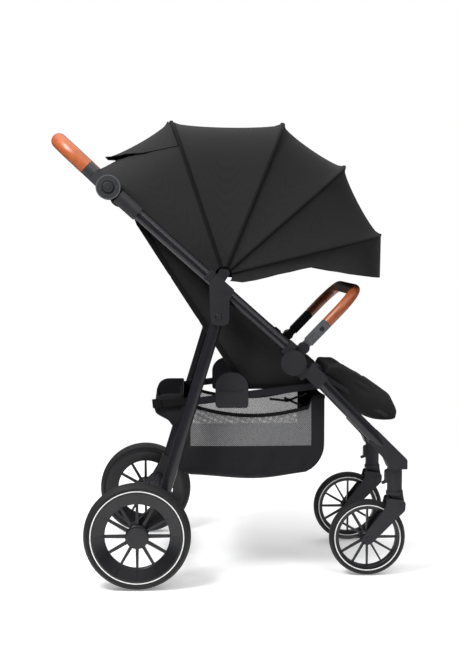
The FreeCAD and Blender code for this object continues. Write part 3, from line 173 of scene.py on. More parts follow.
def bump(tree, shader, height, strength, distance):
    """Joins a height pattern to the shader as fine relief."""
    relief = add_node(tree, "ShaderNodeBump", Strength=strength, Distance=distance, Height=height)
    tree.links.new(relief.outputs["Normal"], shader.inputs["Normal"])


print("material helpers ready")

# %% [markdown]
# ### Painted tube and moulded plastic
# Powder coat has a faint orange peel under a satin gloss. Moulded plastic has a finer grain of small cells,
# which the eye reads as rougher. One flat dark colour would hide the shape, so a slow noise varies the
# colour and the gloss a little, as hands and shoes do. The small steel rings take the plastic's recipe in a
# light grey, which is enough at their size.

# %% Painted tube and moulded plastic
def powder_coat(name, colour, roughness):
    material, tree, shader, place = blank_finish(name, colour, roughness, Specular_IOR_Level=0.42)
    peel = noise(tree, place, 900.0)
    wear = noise(tree, place, 14.0, 3.0)
    tint = colour_between(tree, wear, darker(colour, 0.8), darker(colour, 1.25))
    feed(tree, shader.inputs["Base Color"], tint)
    feed(tree, shader.inputs["Roughness"], spread(tree, wear, roughness - 0.05, roughness + 0.08))
    bump(tree, shader, peel, strength=0.12, distance=0.0003)
    return material


def plastic_grain(tree, shader, place):
    """The fine cells that a mould leaves on plastic."""
    cells = add_node(tree, "ShaderNodeTexVoronoi", Vector=place, Scale=1100.0)
    bump(tree, shader, cells.outputs["Distance"], strength=0.16, distance=0.0003)


def moulded_plastic(name, colour, roughness):
    material, tree, shader, place = blank_finish(name, colour, roughness, Specular_IOR_Level=0.36)
    rub = noise(tree, place, 22.0, 4.0)
    tint = colour_between(tree, rub, darker(colour, 0.82), darker(colour, 1.2))
    feed(tree, shader.inputs["Base Color"], tint)
    feed(tree, shader.inputs["Roughness"], spread(tree, rub, roughness - 0.07, roughness + 0.09))
    plastic_grain(tree, shader, place)
    return material


paint = powder_coat("satin_black_paint", (0.0085, 0.0087, 0.0125), roughness=0.3)
plastic = moulded_plastic("black_plastic", (0.0135, 0.0132, 0.0168), roughness=0.5)
steel = moulded_plastic("worn_steel", (0.32, 0.32, 0.33), roughness=0.3)
print("hard finishes:", paint.name, plastic.name, steel.name)

# %% [markdown]
# ### Woven polyester
# The cloth is a plain weave of two crossing sets of threads, under a millimetre apart, and webbing is a
# coarser one. A woven picture would need every piece laid flat. Bands along the three axes give threads on
# every face without that, and a fine noise makes some threads thicker than others. The colour has a slow
# mottle, and a little sheen lightens the cloth where it turns away.

# %% Woven polyester, webbing and binding
def woven(name, colour, thread=0.0008, relief=0.2, sheen=0.05):
    """thread is the distance from one thread to the next."""
    material, tree, shader, place = blank_finish(name, colour, 0.88, Sheen_Weight=sheen,
                                                 Sheen_Roughness=0.5, Specular_IOR_Level=0.16)
    shader.inputs["Sheen Tint"].default_value = (0.55, 0.55, 0.58, 1)
    scale = math.pi / (10 * thread)  # a wave texture of scale 1 repeats every pi / 10
    threads = noise(tree, place, 700.0, 1.0)
    for direction in ("X", "Y", "Z"):
        wave = add_node(tree, "ShaderNodeTexWave", {"bands_direction": direction}, Vector=place, Scale=scale)
        threads = maths(tree, "ADD", threads, wave.outputs["Fac"])
    mottle = noise(tree, place, 9.0, 5.0, 0.6)
    slow = colour_between(tree, mottle, darker(colour, 0.86), darker(colour, 1.14))
    light = spread(tree, threads, 0.8, 1.2, end=4.0)
    feed(tree, shader.inputs["Base Color"], times(tree, slow, light))
    bump(tree, shader, threads, strength=relief, distance=0.0004)
    return material


canopy_cloth = woven("canopy_cloth", (0.0165, 0.0165, 0.017))
seat_cloth = woven("seat_cloth", (0.0145, 0.0143, 0.0145))
basket_cloth = woven("basket_cloth", (0.0135, 0.0128, 0.015), sheen=0.08)
binding = woven("binding_tape", (0.005, 0.005, 0.0054), thread=0.0006, sheen=0.04)
webbing = woven("webbing", (0.011, 0.011, 0.012), thread=0.0016, relief=0.5, sheen=0.06)
print("three cloths, their binding and the webbing")

# %% [markdown]
# ### Leather
# The leather is a saddle brown with a pebbled grain. Small rounded cells make the grain, a wider noise makes
# creases with painted shade, darker where they are deep and lighter on their ridges, and a slow one moves the
# colour between a lighter orange brown and a darker one, as handled leather has.

# %% Leather and its thread
def leather_finish(name, light, dark):
    material, tree, shader, place = blank_finish(name, light, 0.4, Specular_IOR_Level=0.5, Coat_Weight=0.12)
    shader.inputs["Coat Roughness"].default_value = 0.3
    pebble = add_node(tree, "ShaderNodeTexVoronoi", {"feature": "SMOOTH_F1"}, Vector=place, Scale=620.0)
    crease = noise(tree, place, 70.0, 6.0, 0.65)
    shade = colour_between(tree, noise(tree, place, 16.0, 3.0), dark, light)
    # Painted shade: the colour is darker in the deep creases and lighter on their ridges.
    painted_crease_shade = spread(tree, crease, 0.85, 1.12, start=0.3, end=0.7)
    feed(tree, shader.inputs["Base Color"], times(tree, shade, painted_crease_shade))
    relief = maths(tree, "ADD", pebble.outputs["Distance"], crease)
    bump(tree, shader, relief, strength=0.28, distance=0.0005)
    return material


leather = leather_finish("saddle_leather", (0.42, 0.105, 0.03), (0.27, 0.062, 0.02))
stitching = woven("leather_thread", (0.16, 0.05, 0.02), thread=0.0006, sheen=0.0)
print("leather:", leather.name, stitching.name)

# %% [markdown]
# ### Wheels
# Each wheel needs patterns centred on its own axle: a white pinstripe near the rim's edge, and fine
# moulding rings on the tyre's side. They could be cut into the mesh, but a stripe of paint has no depth and
# the rings are too shallow to see as shape. A Mapping node moves the axle to the origin, and the distance
# from it in the wheel's plane drives both.

# %% Wheel finishes centred on each axle
RING_SPACING = 0.0045


def from_axle(tree, place, centre):
    """Distance of a point from the wheel's axle, and how far it is to the left of the wheel's middle."""
    mapped = add_node(tree, "ShaderNodeMapping", Vector=place)
    mapped.inputs["Location"].default_value = -centre
    flat = add_node(tree, "ShaderNodeVectorMath", {"operation": "MULTIPLY"}, Vector=mapped.outputs[0])
    flat.inputs[1].default_value = (1, 0, 1)
    length = add_node(tree, "ShaderNodeVectorMath", {"operation": "LENGTH"}, Vector=flat.outputs[0])
    parts = add_node(tree, "ShaderNodeSeparateXYZ", Vector=mapped.outputs[0])
    return length.outputs["Value"], parts.outputs["Y"]


def ring_mask(tree, radius, centre_line, half_width):
    """1 on a ring of that radius, 0 elsewhere."""
    return maths(tree, "COMPARE", radius, centre_line, half_width)


def tyre_finish(name, centre):
    material, tree, shader, place = blank_finish(name, (0.01, 0.01, 0.0105), 0.66, Specular_IOR_Level=0.3)
    radius, _ = from_axle(tree, place, centre)
    dust = noise(tree, place, 30.0, 5.0)
    rubber = colour_between(tree, dust, (0.0075, 0.0075, 0.008), (0.015, 0.015, 0.0158))
    feed(tree, shader.inputs["Base Color"], rubber)
    rings = maths(tree, "SINE", maths(tree, "MULTIPLY", radius, 2 * math.pi / RING_SPACING))
    bump(tree, shader, maths(tree, "MULTIPLY_ADD", dust, 0.4, rings), strength=0.35, distance=0.0008)
    return material


def rim_finish(name, centre, stripe_radius, stripe_width, outward):
    """outward is 1 or -1 where only the face on that side has the stripe, and 0 where both have it."""
    material, tree, shader, place = blank_finish(name, (0.008, 0.008, 0.0095), 0.3, Specular_IOR_Level=0.4)
    radius, aside = from_axle(tree, place, centre)
    rub = noise(tree, place, 26.0, 4.0)
    body = colour_between(tree, rub, (0.006, 0.006, 0.0075), (0.0105, 0.0105, 0.013))
    stripe = ring_mask(tree, radius, stripe_radius, stripe_width / 2)
    if outward:
        outer = maths(tree, "GREATER_THAN", maths(tree, "MULTIPLY", aside, float(outward)), 0.0)
        stripe = maths(tree, "MULTIPLY", stripe, outer)
    feed(tree, shader.inputs["Base Color"], colour_between(tree, stripe, body, (0.8, 0.8, 0.79)))
    bump(tree, shader, noise(tree, place, 1300.0), strength=0.1, distance=0.0003)
    return material


print("wheel finishes ready, moulding rings every", RING_SPACING)

# %% [markdown]
# ### Handle hubs and bumper clips
# The hub's cap has a thin groove round its button and a bevelled edge. Both are too fine for the solid model, so
# they are rings of colour, found in the same way as a wheel's stripe: a dark ring is painted shade in the groove,
# and a light ring is a painted highlight on the edge. The bumper's end blocks are grey, and their inner halves get
# painted shade, a dark colour parted from the grey by a plane: a Greater Than on the distance from the stroller's
# middle.

# %% Finishes of the hub caps and the bumper's end blocks
def hub_finish(name, centre):
    material, tree, shader, place = blank_finish(name, (0.016, 0.0165, 0.019), 0.42, Specular_IOR_Level=0.5)
    radius, _ = from_axle(tree, place, centre)
    rub = noise(tree, place, 40.0, 4.0)
    body = colour_between(tree, rub, (0.016, 0.0165, 0.019), (0.026, 0.027, 0.03))
    # Painted shade: a near-black ring stands in for the shade inside the groove round the button.
    painted_groove_shade = ring_mask(tree, radius, centre_line=0.0142, half_width=0.0011)
    shaded_in_groove = colour_between(tree, painted_groove_shade, body, (0.002, 0.002, 0.0022))
    # Painted highlight: a light ring stands in for light caught on the cap's bevelled edge.
    painted_edge_highlight = ring_mask(tree, radius, centre_line=0.0272, half_width=0.0011)
    feed(tree, shader.inputs["Base Color"], colour_between(tree, painted_edge_highlight, shaded_in_groove, (0.075, 0.078, 0.085)))
    bump(tree, shader, noise(tree, place, 1100.0), strength=0.1, distance=0.0003)
    return material


def clip_finish(name, split):
    """Grey further than split from the stroller's middle, and painted shade nearer it: a dark colour for the shade
    on the inner faces.
    """
    material, tree, shader, place = blank_finish(name, (0.05, 0.05, 0.05), 0.42, Specular_IOR_Level=0.42)
    parts = add_node(tree, "ShaderNodeSeparateXYZ", Vector=place)
    outer = maths(tree, "GREATER_THAN", maths(tree, "ABSOLUTE", parts.outputs["Y"]), split)
    rub = noise(tree, place, 22.0, 4.0)
    grey = colour_between(tree, rub, (0.07, 0.073, 0.078), (0.1, 0.104, 0.11))
    # Painted shade: the dark navy colour of the inner half stands in for the shade on the blocks' inner faces,
    # which are the same grey plastic.
    dark = colour_between(tree, rub, (0.007, 0.008, 0.014), (0.012, 0.013, 0.022))
    feed(tree, shader.inputs["Base Color"], colour_between(tree, outer, dark, grey))
    plastic_grain(tree, shader, place)
    return material


print("hub and clip finishes ready")

# %% [markdown]
# ### Finishes on the frame
# Each carried-over node keeps its mesh and only takes a material. The front wheels show their stripe on both
# faces, since a caster turns either one outwards.

# %% Give the frame its finishes
STRIPE_INSET = 0.0012
STRIPE_WIDTH = 0.0026
CLIP_GREY_DEPTH = 0.013


def put_finish(node_name, material):
    """Gives a carried-over CAD node its finish."""
    slots = frame["nodes"][node_name].data.materials
    slots.clear()
    slots.append(material)


for side, sign in SIDES.items():
    for kind in ("rear", "front"):
        tyre, rim = f"{kind}_tyre_{side}", f"{kind}_rim_{side}"
        centre = middle_of(tyre)
        rim_radius = (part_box(rim)[1][0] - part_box(rim)[0][0]) / 2
        outward = sign if kind == "rear" else 0
        put_finish(tyre, tyre_finish(tyre + "_rubber", centre))
        put_finish(rim, rim_finish(rim + "_plastic", centre, rim_radius - STRIPE_INSET, STRIPE_WIDTH,
                                   outward))
        print(rim, "radius", round(rim_radius, 4))

finish_of = {"front_cross_tube": paint, "rear_axle_tube": paint, "handle_bar": paint, "bumper_bar": paint,
             "seat_cushion": seat_cloth, "backrest_pad": seat_cloth, "leg_rest_pad": seat_cloth,
             "seat_sides": seat_cloth, "canopy_fabric": canopy_cloth, "basket_fabric": basket_cloth,
             "shoulder_straps": webbing, "handle_grip": leather, "bumper_cover": leather}
for side in SIDES:
    for stem in ("main_tube", "front_leg", "rear_leg", "side_strut"):
        finish_of[f"{stem}_{side}"] = paint
    for stem in ("hub_socket", "hub_button", "leg_bracket", "fold_knuckle", "caster_housing", "caster_head",
                 "caster_fork", "axle_housing"):
        finish_of[f"{stem}_{side}"] = plastic
for name in ("canopy_mounts", "leg_knuckles", "brake_pedal", "strut_arches", "seat_frame", "backrest_frame",
             "leg_rest_board", "canopy_rib_rear", "canopy_rib_second", "canopy_rib_third", "canopy_rib_front",
             "crotch_buckle"):
    finish_of[name] = plastic
for name, material in finish_of.items():
    put_finish(name, material)
for side in SIDES:
    put_finish(f"hub_cap_{side}", hub_finish(f"hub_cap_{side}_plastic", joint_place("handle_tilt")))
put_finish("bumper_ends", clip_finish("bumper_clip_plastic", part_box("bumper_ends")[1][1] - CLIP_GREY_DEPTH))
bare = [name for name, node in frame["nodes"].items() if not node.data.materials]
print("finishes on", len(frame["nodes"]) - len(bare), "nodes, bare nodes:", bare)

# %% [markdown]
# ## Making and keeping pieces
# Each piece is drawn in a bmesh, turned into a mesh, and told which body carries it. Modifiers are settled
# into the mesh straight away, so the piece that moves is the piece that is seen.

# %% Helpers for pieces
SHARP_ANGLE = 40


def verts_of(made):
    """The vertices in what a bmesh operator made."""
    return [item for item in made if isinstance(item, bmesh.types.BMVert)]


def edges_of(made):
    """The edges in what a bmesh operator made."""
    return [item for item in made if isinstance(item, bmesh.types.BMEdge)]


def finish_surface(piece, angle=SHARP_ANGLE):
    """Smooth shading with sharp edges kept past an angle in degrees."""
    for face in piece.data.polygons:
        face.use_smooth = True
    piece.data.set_sharp_from_angle(angle=math.radians(angle))


def make_piece(name, shape, material, body=None, replaces=(), smooth=SHARP_ANGLE):
    """Turns a bmesh into an object that rides on a body. Edges past the angle smooth stay sharp."""
    mesh = bpy.data.meshes.new(name)
    shape.to_mesh(mesh)
    shape.free()
    piece = bpy.data.objects.new(name, mesh)
    bpy.context.scene.collection.objects.link(piece)
    mesh.materials.append(material)
    finish_surface(piece, smooth)
    if replaces:
        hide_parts(*replaces)
    if body:
        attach(piece, body)
    return piece


def settle(piece):
    """Makes what the modifiers show the piece's own mesh."""
    graph = bpy.context.evaluated_depsgraph_get()
    shown = bpy.data.meshes.new_from_object(piece.evaluated_get(graph))
    piece.modifiers.clear()
    piece.data = shown
    finish_surface(piece)


def thicken(piece, thickness):
    """Gives a cloth sheet its thickness, half on each side."""
    wall = piece.modifiers.new("thickness", "SOLIDIFY")
    wall.thickness = thickness
    wall.offset = 0.0
    settle(piece)


def round_off(piece):
    """One level of subdivision."""
    smoother = piece.modifiers.new("subdivision", "SUBSURF")
    smoother.levels = smoother.render_levels = 1
    settle(piece)


def extrude_row(shape, edges, step):
    """Pulls a row of edges by a step, and returns the new row."""
    grown = bmesh.ops.extrude_edge_only(shape, edges=edges)["geom"]
    bmesh.ops.translate(shape, verts=verts_of(grown), vec=step)
    return edges_of(grown)


print("piece helpers ready")

# %% [markdown]
# ## Canopy
# The canopy is a fan of five panels of cloth, called gores, sewn together over hoop-shaped ribs that turn on
# one pin each side. Between two ribs the cloth pulls straight and dips in, which gives the scalloped outline.
# A cloth simulation pinned at the ribs could pull it tight, but it is slow and hard to steer, and tight cloth
# has a simple shape. So each gore is a hoop of edges spun about the pin from one rib to the next, and every
# point then moves in towards the pin, fast beside a rib and hardly at all in the middle.

# %% Sizes of the canopy
pin = joint_place("canopy_fold")
RIB_ANGLES = {"rear": 108.5, "second": 67.7, "third": 41.0, "front": 13.7}
RIB_REACH = {"rear": 0.3965, "second": 0.4015, "third": 0.4065, "front": 0.4095}
BACK_ANGLE = 138.3
BACK_DROP = 0.026
BACK_REACH = 0.412
CLOTH_STANDS_PROUD = 0.0005
cloth_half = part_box("canopy_fabric")[1][1] + CLOTH_STANDS_PROUD
CROWN_RADIUS = 0.095
CROWN_RISE = 0.016
HEM_START = 0.020
CANOPY_CLOTH = 0.0012
print("canopy half width", round(cloth_half, 4))

# %% A hoop of edges, the start of every gore and seam
SIDE_CUTS = 9
CROWN_CUTS = 7
CORNER_STEPS = 6


def hoop(shape, half, reach, angle):
    """Row of edges up the right side, over the crown and down the left side, leaned to an angle."""
    shoulder = reach - CROWN_RADIUS - CROWN_RISE
    flat = half - CROWN_RADIUS
    tip = [shape.verts.new((0, -half, HEM_START))]
    straights = []
    for step, corner in (((0, 0, shoulder - HEM_START), -flat), ((0, 2 * flat, 0), flat),
                         ((0, 0, HEM_START - shoulder), None)):
        grown = bmesh.ops.extrude_vert_indiv(shape, verts=tip)
        tip = grown["verts"]
        straights.append(grown["edges"])
        bmesh.ops.translate(shape, verts=tip, vec=step)
        if corner is not None:
            arc = bmesh.ops.spin(shape, geom=tip, cent=(0, corner, shoulder), axis=(1, 0, 0),
                                 angle=-math.pi / 2, steps=CORNER_STEPS)
            tip = verts_of(arc["geom_last"])
    rise, crown, fall = straights
    bmesh.ops.subdivide_edges(shape, edges=rise + fall, cuts=SIDE_CUTS)
    bmesh.ops.subdivide_edges(shape, edges=crown, cuts=CROWN_CUTS)
    bmesh.ops.remove_doubles(shape, verts=shape.verts, dist=1e-6)
    for vert in shape.verts:
        across = abs(vert.co.y) / flat
        if vert.co.z > shoulder and across < 1:
            vert.co.z += CROWN_RISE * (1 - across ** 2)
    lean = Matrix.Rotation(math.radians(90 - angle), 3, "Y")
    bmesh.ops.rotate(shape, verts=shape.verts, matrix=lean, cent=(0, 0, 0))
    return shape.edges[:]


def polar_of(point):
    """Angle in degrees and distance from the pin, in the side view."""
    return math.degrees(math.atan2(point.z, point.x)), math.hypot(point.x, point.z)


def set_polar(vert, angle, radius):
    vert.co.x = radius * math.cos(math.radians(angle))
    vert.co.z = radius * math.sin(math.radians(angle))


print("hoop helpers ready")

# %% [markdown]
# ### Gores
# A gore's shape is worked out in angle and distance from the pin, where its own edges are straight lines.
# Three things move each point: the chord that tight cloth makes between two ribs, the dip below that chord,
# and a pinch that draws the sides in. The brim's hem and the rear gore's hem aren't at one angle, so those
# two gores have a function of their own that stretches them down to the hem.

# %% One gore between two angles
TIGHTNESS = 0.42
SIDE_PINCH = 0.011


def gore(name, first, second, reach_first, reach_second, dip, steps=16, shaping=None):
    """One panel of cloth between the angles first and second, measured up from the front."""
    shape = bmesh.new()
    row = hoop(shape, cloth_half, reach_first, first)
    opening = math.radians(second - first)
    bmesh.ops.spin(shape, geom=shape.verts[:] + row, cent=(0, 0, 0), axis=(0, 1, 0), angle=-opening,
                   steps=steps)
    for vert in shape.verts:
        angle, radius = polar_of(vert.co)
        share = (angle - first) / (second - first)
        reach = reach_first + (reach_second - reach_first) * share
        bow = max(0.0, 4 * share * (1 - share))
        chord = math.cos(opening / 2) / math.cos(opening * (share - 0.5))
        out = radius / reach_first
        radius *= reach / reach_first * (1 - (1 - chord) * out) * (1 - dip * bow ** TIGHTNESS * out)
        pinch = SIDE_PINCH * bow * out * (abs(vert.co.y) / cloth_half) ** 4
        vert.co.y -= math.copysign(pinch, vert.co.y)
        if shaping:
            angle, radius = shaping(angle, radius, share)
        set_polar(vert, angle, radius)
    bmesh.ops.translate(shape, verts=shape.verts, vec=pin)
    bmesh.ops.recalc_face_normals(shape, faces=shape.faces)
    return make_piece(name, shape, canopy_cloth, smooth=60)


# %% Brim, whose hem arches between its tip and the pin
HEM_LINE = [(0.02, -44), (0.03, -32), (0.059, -14.4), (0.09, -5), (0.132, 1.0), (0.206, 5.6), (0.25, 2.2),
            (0.3, 0.2), (0.363, -1.0), (0.42, -1.6)]
BRIM_ANGLE = 15
BRIM_SHORTER = 0.004
BRIM_TUCK = 0.009
TUCK_FROM = 0.28
TUCK_OVER = 0.1


def hem_angle(radius):
    """Angle of the canopy's lower front edge at a distance from the pin."""
    for (near, low), (far, high) in zip(HEM_LINE, HEM_LINE[1:]):
        if radius <= far:
            part = max(0.0, (radius - near) / (far - near))
            return low + (high - low) * part
    return HEM_LINE[-1][1]


def to_hem(angle, radius, share):
    """Stretches the brim from the front rib down to the hem. share is 0 at the hem and 1 at the rib."""
    rib = RIB_ANGLES["front"]
    crown = max(0.0, min(1.0, (radius - TUCK_FROM) / TUCK_OVER))
    return rib - (rib - hem_angle(radius)) * (1 - share), radius - BRIM_TUCK * (1 - share) * crown


gores = {"brim": gore("canopy_brim", RIB_ANGLES["front"] - BRIM_ANGLE, RIB_ANGLES["front"],
                      RIB_REACH["front"] - BRIM_SHORTER, RIB_REACH["front"], 0.0, steps=8, shaping=to_hem)}
print("brim faces", len(gores["brim"].data.polygons))

# %% The three gores between ribs, and the rear one
REAR_DIP = 0.042


def under_flap(angle, radius, share):
    """The rear gore's lower hem runs along behind the main tubes."""
    hem = BACK_ANGLE + math.degrees(math.asin(min(0.5, BACK_DROP / radius)))
    start = RIB_ANGLES["rear"]
    return start + (angle - start) * (hem - start) / (BACK_ANGLE - start), radius


for front, rear, dip in (("front", "third", 0.036), ("third", "second", 0.037), ("second", "rear", 0.036)):
    gores[front] = gore(f"canopy_gore_{front}", RIB_ANGLES[front], RIB_ANGLES[rear],
                        RIB_REACH[front], RIB_REACH[rear], dip)
gores["rear"] = gore("canopy_gore_rear", RIB_ANGLES["rear"], BACK_ANGLE, RIB_REACH["rear"], BACK_REACH,
                     REAR_DIP, shaping=under_flap)
print("gores", len(gores), "faces in one", len(gores["second"].data.polygons))

# %% [markdown]
# ### Folding
# The canopy folds back like a fan. The brim rides on the front rib and the rear gore stays with the frame.
# The gores between two ribs only have their place baked into their mesh, and ride on no body.


def follow_ribs(piece):
    """Bakes a gore's place into its mesh."""
    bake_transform(piece)


ratio = {item["joint"]: item["ratio"] for item in frame["record"]["behaviour"]["couplings"]}
for piece in gores.values():
    thicken(piece, CANOPY_CLOTH)
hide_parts("canopy_fabric")
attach(gores["brim"], "front_rib")
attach(gores["rear"], "chassis")
for front, rear, rear_turns in (("front", "third", ratio["third_rib_fold"]),
                                ("third", "second", ratio["second_rib_fold"] / ratio["third_rib_fold"]),
                                ("second", "rear", 0.0)):
    follow_ribs(gores[front])

# %% [markdown]
# ### Seams
# A felled seam covers each rib: a narrow tape with a raised middle. It could be a bump in the cloth's
# material, but it catches light along its edge and breaks the outline, so it is a piece of its own. A hoop
# is pulled sideways twice, and the row of points in the middle is lifted.

# %% Seam tapes over the ribs
SEAM_OVER_SIDES = 0.0009
SEAM_UNDER_CROWN = 0.0002
SEAM_LIFT = 0.0021


def seam_tape(name, angle, reach, body, width):
    shape = bmesh.new()
    row = hoop(shape, cloth_half + SEAM_OVER_SIDES, reach - SEAM_UNDER_CROWN, angle)
    across = quarter_turn(toward(angle))
    bmesh.ops.translate(shape, verts=shape.verts, vec=across * -width / 2)
    row = extrude_row(shape, row, across * width / 2)
    ridge = {vert for edge in row for vert in edge.verts}
    extrude_row(shape, row, across * width / 2)
    for vert in ridge:
        out = Vector((vert.co.x, 0, vert.co.z)).normalized()
        sideways = Vector((0, math.copysign(1, vert.co.y), 0))
        if abs(vert.co.y) < cloth_half - CROWN_RADIUS:
            lift = out
        elif out.dot(vert.co) < reach - CROWN_RADIUS:
            lift = sideways
        else:
            lift = (out + sideways).normalized()
        vert.co += lift * SEAM_LIFT
    bmesh.ops.translate(shape, verts=shape.verts, vec=pin)
    bmesh.ops.recalc_face_normals(shape, faces=shape.faces)
    tape = make_piece(name, shape, binding, smooth=80)
    thicken(tape, CANOPY_CLOTH)
    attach(tape, body)


for rib, body, width in (("rear", "chassis", 0.0085), ("second", "second_rib", 0.0085),
                         ("third", "third_rib", 0.006), ("front", "front_rib", 0.005)):
    seam_tape(f"canopy_seam_{rib}", RIB_ANGLES[rib], RIB_REACH[rib], body, width)
print("seams on", len(RIB_ANGLES), "ribs")

# %% [markdown]
# ### Rear flap
# The rear gore has a flap over its crown, free at its lower edge, that casts a dark shadow below. It is one
# more gore, a little further out than the cloth under it. Two planes cut its lower edge: one slants down
# towards the rear, and a level one shortens the tall rear edge that the first would leave.

# %% Rear flap, cut off along two planes
FLAP_ANGLE = 135.0
FLAP_START = 1
FLAP_CLEAR_FRONT = 0.002
FLAP_CLEAR_REAR = 0.008
FLAP_FLARE = 0.003
FLAP_DIP = 0.03
FLAP_CLOTH = 0.0016
FLAP_EDGE = [(0.322, 112), (0.384, 135)]
FLAP_TIP_HEIGHT = 0.286


def flap_shape(angle, radius, share):
    return angle, radius + FLAP_FLARE * share ** 2


flap = gore("canopy_flap", RIB_ANGLES["rear"] + FLAP_START, FLAP_ANGLE, RIB_REACH["rear"] + FLAP_CLEAR_FRONT,
            RIB_REACH["rear"] + FLAP_CLEAR_REAR, FLAP_DIP, shaping=flap_shape)
edge_near, edge_far = [pin + reach * toward(angle) for reach, angle in FLAP_EDGE]
along_edge = (edge_far - edge_near).normalized()
planes = [(edge_near, -quarter_turn(along_edge)), (pin + Vector((0, 0, FLAP_TIP_HEIGHT)), (0, 0, 1))]
cut = bmesh.new()
cut.from_mesh(flap.data)
for place, direction in planes:
    bmesh.ops.bisect_plane(cut, geom=cut.verts[:] + cut.edges[:] + cut.faces[:], plane_co=place,
                           plane_no=direction, clear_inner=True)
cut.to_mesh(flap.data)
cut.free()
thicken(flap, FLAP_CLOTH)
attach(flap, "chassis")

# %% [markdown]
# ## Leather sleeves
# The handle grip and the bumper bar's cover are leather stitched round a bent tube. A curve with a bevel
# would follow the tube too, but it can pinch at tight bends. Here a ring of points is pulled along the
# arm, spun round the corner, pulled across and back down the other side, so every ring keeps its shape. A row
# of stitches runs along the inside of the bend, where the edges of the leather meet.

# %% A sleeve along a bent bar
SLEEVE_SIDES = 28
BEND_STEPS = 12
ARM_RINGS = 6
MIDDLE_RINGS = 20
END_MOUTH = 0.76


def sleeve(name, node, joint, angle, corner, body, squeeze=1.0):
    """Leather sleeve as long and thick as a CAD one, in a plane at an angle. Returns its route."""
    out = toward(angle)
    off_plane = quarter_turn(out)
    hub = joint_place(joint)
    points = [vert.co - hub for vert in frame["nodes"][node].data.vertices]
    radius = max(abs(point.dot(off_plane)) for point in points)
    start = min(point.dot(out) for point in points)
    reach = max(point.dot(out) for point in points) - radius
    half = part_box(node)[1][1] - radius
    shape = bmesh.new()
    ring = bmesh.ops.create_circle(shape, segments=SLEEVE_SIDES, radius=radius)["verts"]
    bmesh.ops.rotate(shape, verts=ring, matrix=Matrix.Rotation(math.pi / 2, 3, "Y"), cent=(0, 0, 0))
    bmesh.ops.scale(shape, verts=ring, vec=(1, 1, squeeze))
    bmesh.ops.translate(shape, verts=ring, vec=(start, -half, 0))

    def pull(edges, step, rings):
        for _ in range(rings):
            edges = extrude_row(shape, edges, Vector(step) / rings)
        return edges

    def bend(edges, centre):
        arc = bmesh.ops.spin(shape, geom=edges, cent=centre, axis=(0, 0, 1), angle=math.pi / 2,
                             steps=BEND_STEPS)
        return edges_of(arc["geom_last"])

    edges = pull(shape.edges[:], (reach - corner - start, 0, 0), ARM_RINGS)
    edges = bend(edges, (reach - corner, corner - half, 0))
    edges = pull(edges, (0, 2 * (half - corner), 0), MIDDLE_RINGS)
    edges = bend(edges, (reach - corner, half - corner, 0))
    pull(edges, (start - reach + corner, 0, 0), ARM_RINGS)
    bmesh.ops.remove_doubles(shape, verts=shape.verts, dist=1e-6)
    ends = [edge for edge in shape.edges if edge.is_boundary]
    for vert in verts_of(bmesh.ops.extrude_edge_only(shape, edges=ends)["geom"]):
        centre = Vector((vert.co.x, math.copysign(half, vert.co.y), 0))
        vert.co = centre + (vert.co - centre) * END_MOUTH
    bmesh.ops.recalc_face_normals(shape, faces=shape.faces)
    turn = Matrix((out, Vector((0, 1, 0)), off_plane)).transposed()
    for vert in shape.verts:
        vert.co = hub + turn @ vert.co
    make_piece(name, shape, leather, body, [node], smooth=50)
    print(name, "radius", round(radius, 4), "half span", round(half, 4), "reach", round(reach, 4))
    return hub, turn, start, reach, half, radius, corner


# %% Stitches along the inside of the bend
STITCH_SPACING = 0.0055
STITCH_SLANT = 0.5
STITCH_SIZE = (STITCH_SPACING * 0.7, 0.0011, 0.0013)
STITCH_SINK = 0.985


def stitch_place(route, along):
    """Where the seam is at a length along it, and which way it heads, in the sleeve's own plane."""
    _, _, start, reach, half, radius, corner = route
    inner = radius * STITCH_SINK
    straight = reach - corner - start
    bend_radius = corner - inner
    arc = bend_radius * math.pi / 2
    middle = 2 * (half - corner)
    if along < straight:
        return Vector((start + along, inner - half, 0)), 0.0
    along -= straight
    if along < arc:
        heading = along / arc * math.pi / 2
        return Vector((reach - corner + bend_radius * math.sin(heading),
                       corner - half - bend_radius * math.cos(heading), 0)), heading
    along -= arc
    if along < middle:
        return Vector((reach - inner, corner - half + along, 0)), math.pi / 2
    along -= middle
    if along < arc:
        heading = math.pi / 2 + along / arc * math.pi / 2
        return Vector((reach - corner + bend_radius * math.sin(heading),
                       half - corner - bend_radius * math.cos(heading), 0)), heading
    return Vector((reach - corner - (along - arc), half - inner, 0)), math.pi


def stitch_row(name, route, body):
    """Row of small raised stitches along a sleeve's seam."""
    hub, turn, start, reach, half, radius, corner = route
    arc = (corner - radius * STITCH_SINK) * math.pi / 2
    total = 2 * (reach - corner - start) + 2 * arc + 2 * (half - corner)
    count = int(total / STITCH_SPACING)
    shape = bmesh.new()
    for index in range(count):
        spot, heading = stitch_place(route, (index + 0.5) * total / count)
        stitch = bmesh.ops.create_cube(shape, size=1.0)["verts"]
        bmesh.ops.scale(shape, verts=stitch, vec=STITCH_SIZE)
        for turned_by, axis in ((STITCH_SLANT, "Y"), (heading, "Z")):
            bmesh.ops.rotate(shape, verts=stitch, cent=(0, 0, 0), matrix=Matrix.Rotation(turned_by, 3, axis))
        bmesh.ops.translate(shape, verts=stitch, vec=spot)
    for vert in shape.verts:
        vert.co = hub + turn @ vert.co
    make_piece(name, shape, stitching, body)
    print(name, count, "stitches")


HANDLE_ANGLE = 180 - 43.2
BUMPER_ANGLE = 46.0
grip_route = sleeve("handle_grip_leather", "handle_grip", "handle_tilt", HANDLE_ANGLE, 0.062, "handle")
stitch_row("handle_grip_stitches", grip_route, "handle")
cover_route = sleeve("bumper_leather", "bumper_cover", "bumper_tilt", BUMPER_ANGLE, 0.070, "bumper",
                     squeeze=0.9)
stitch_row("bumper_stitches", cover_route, "bumper")

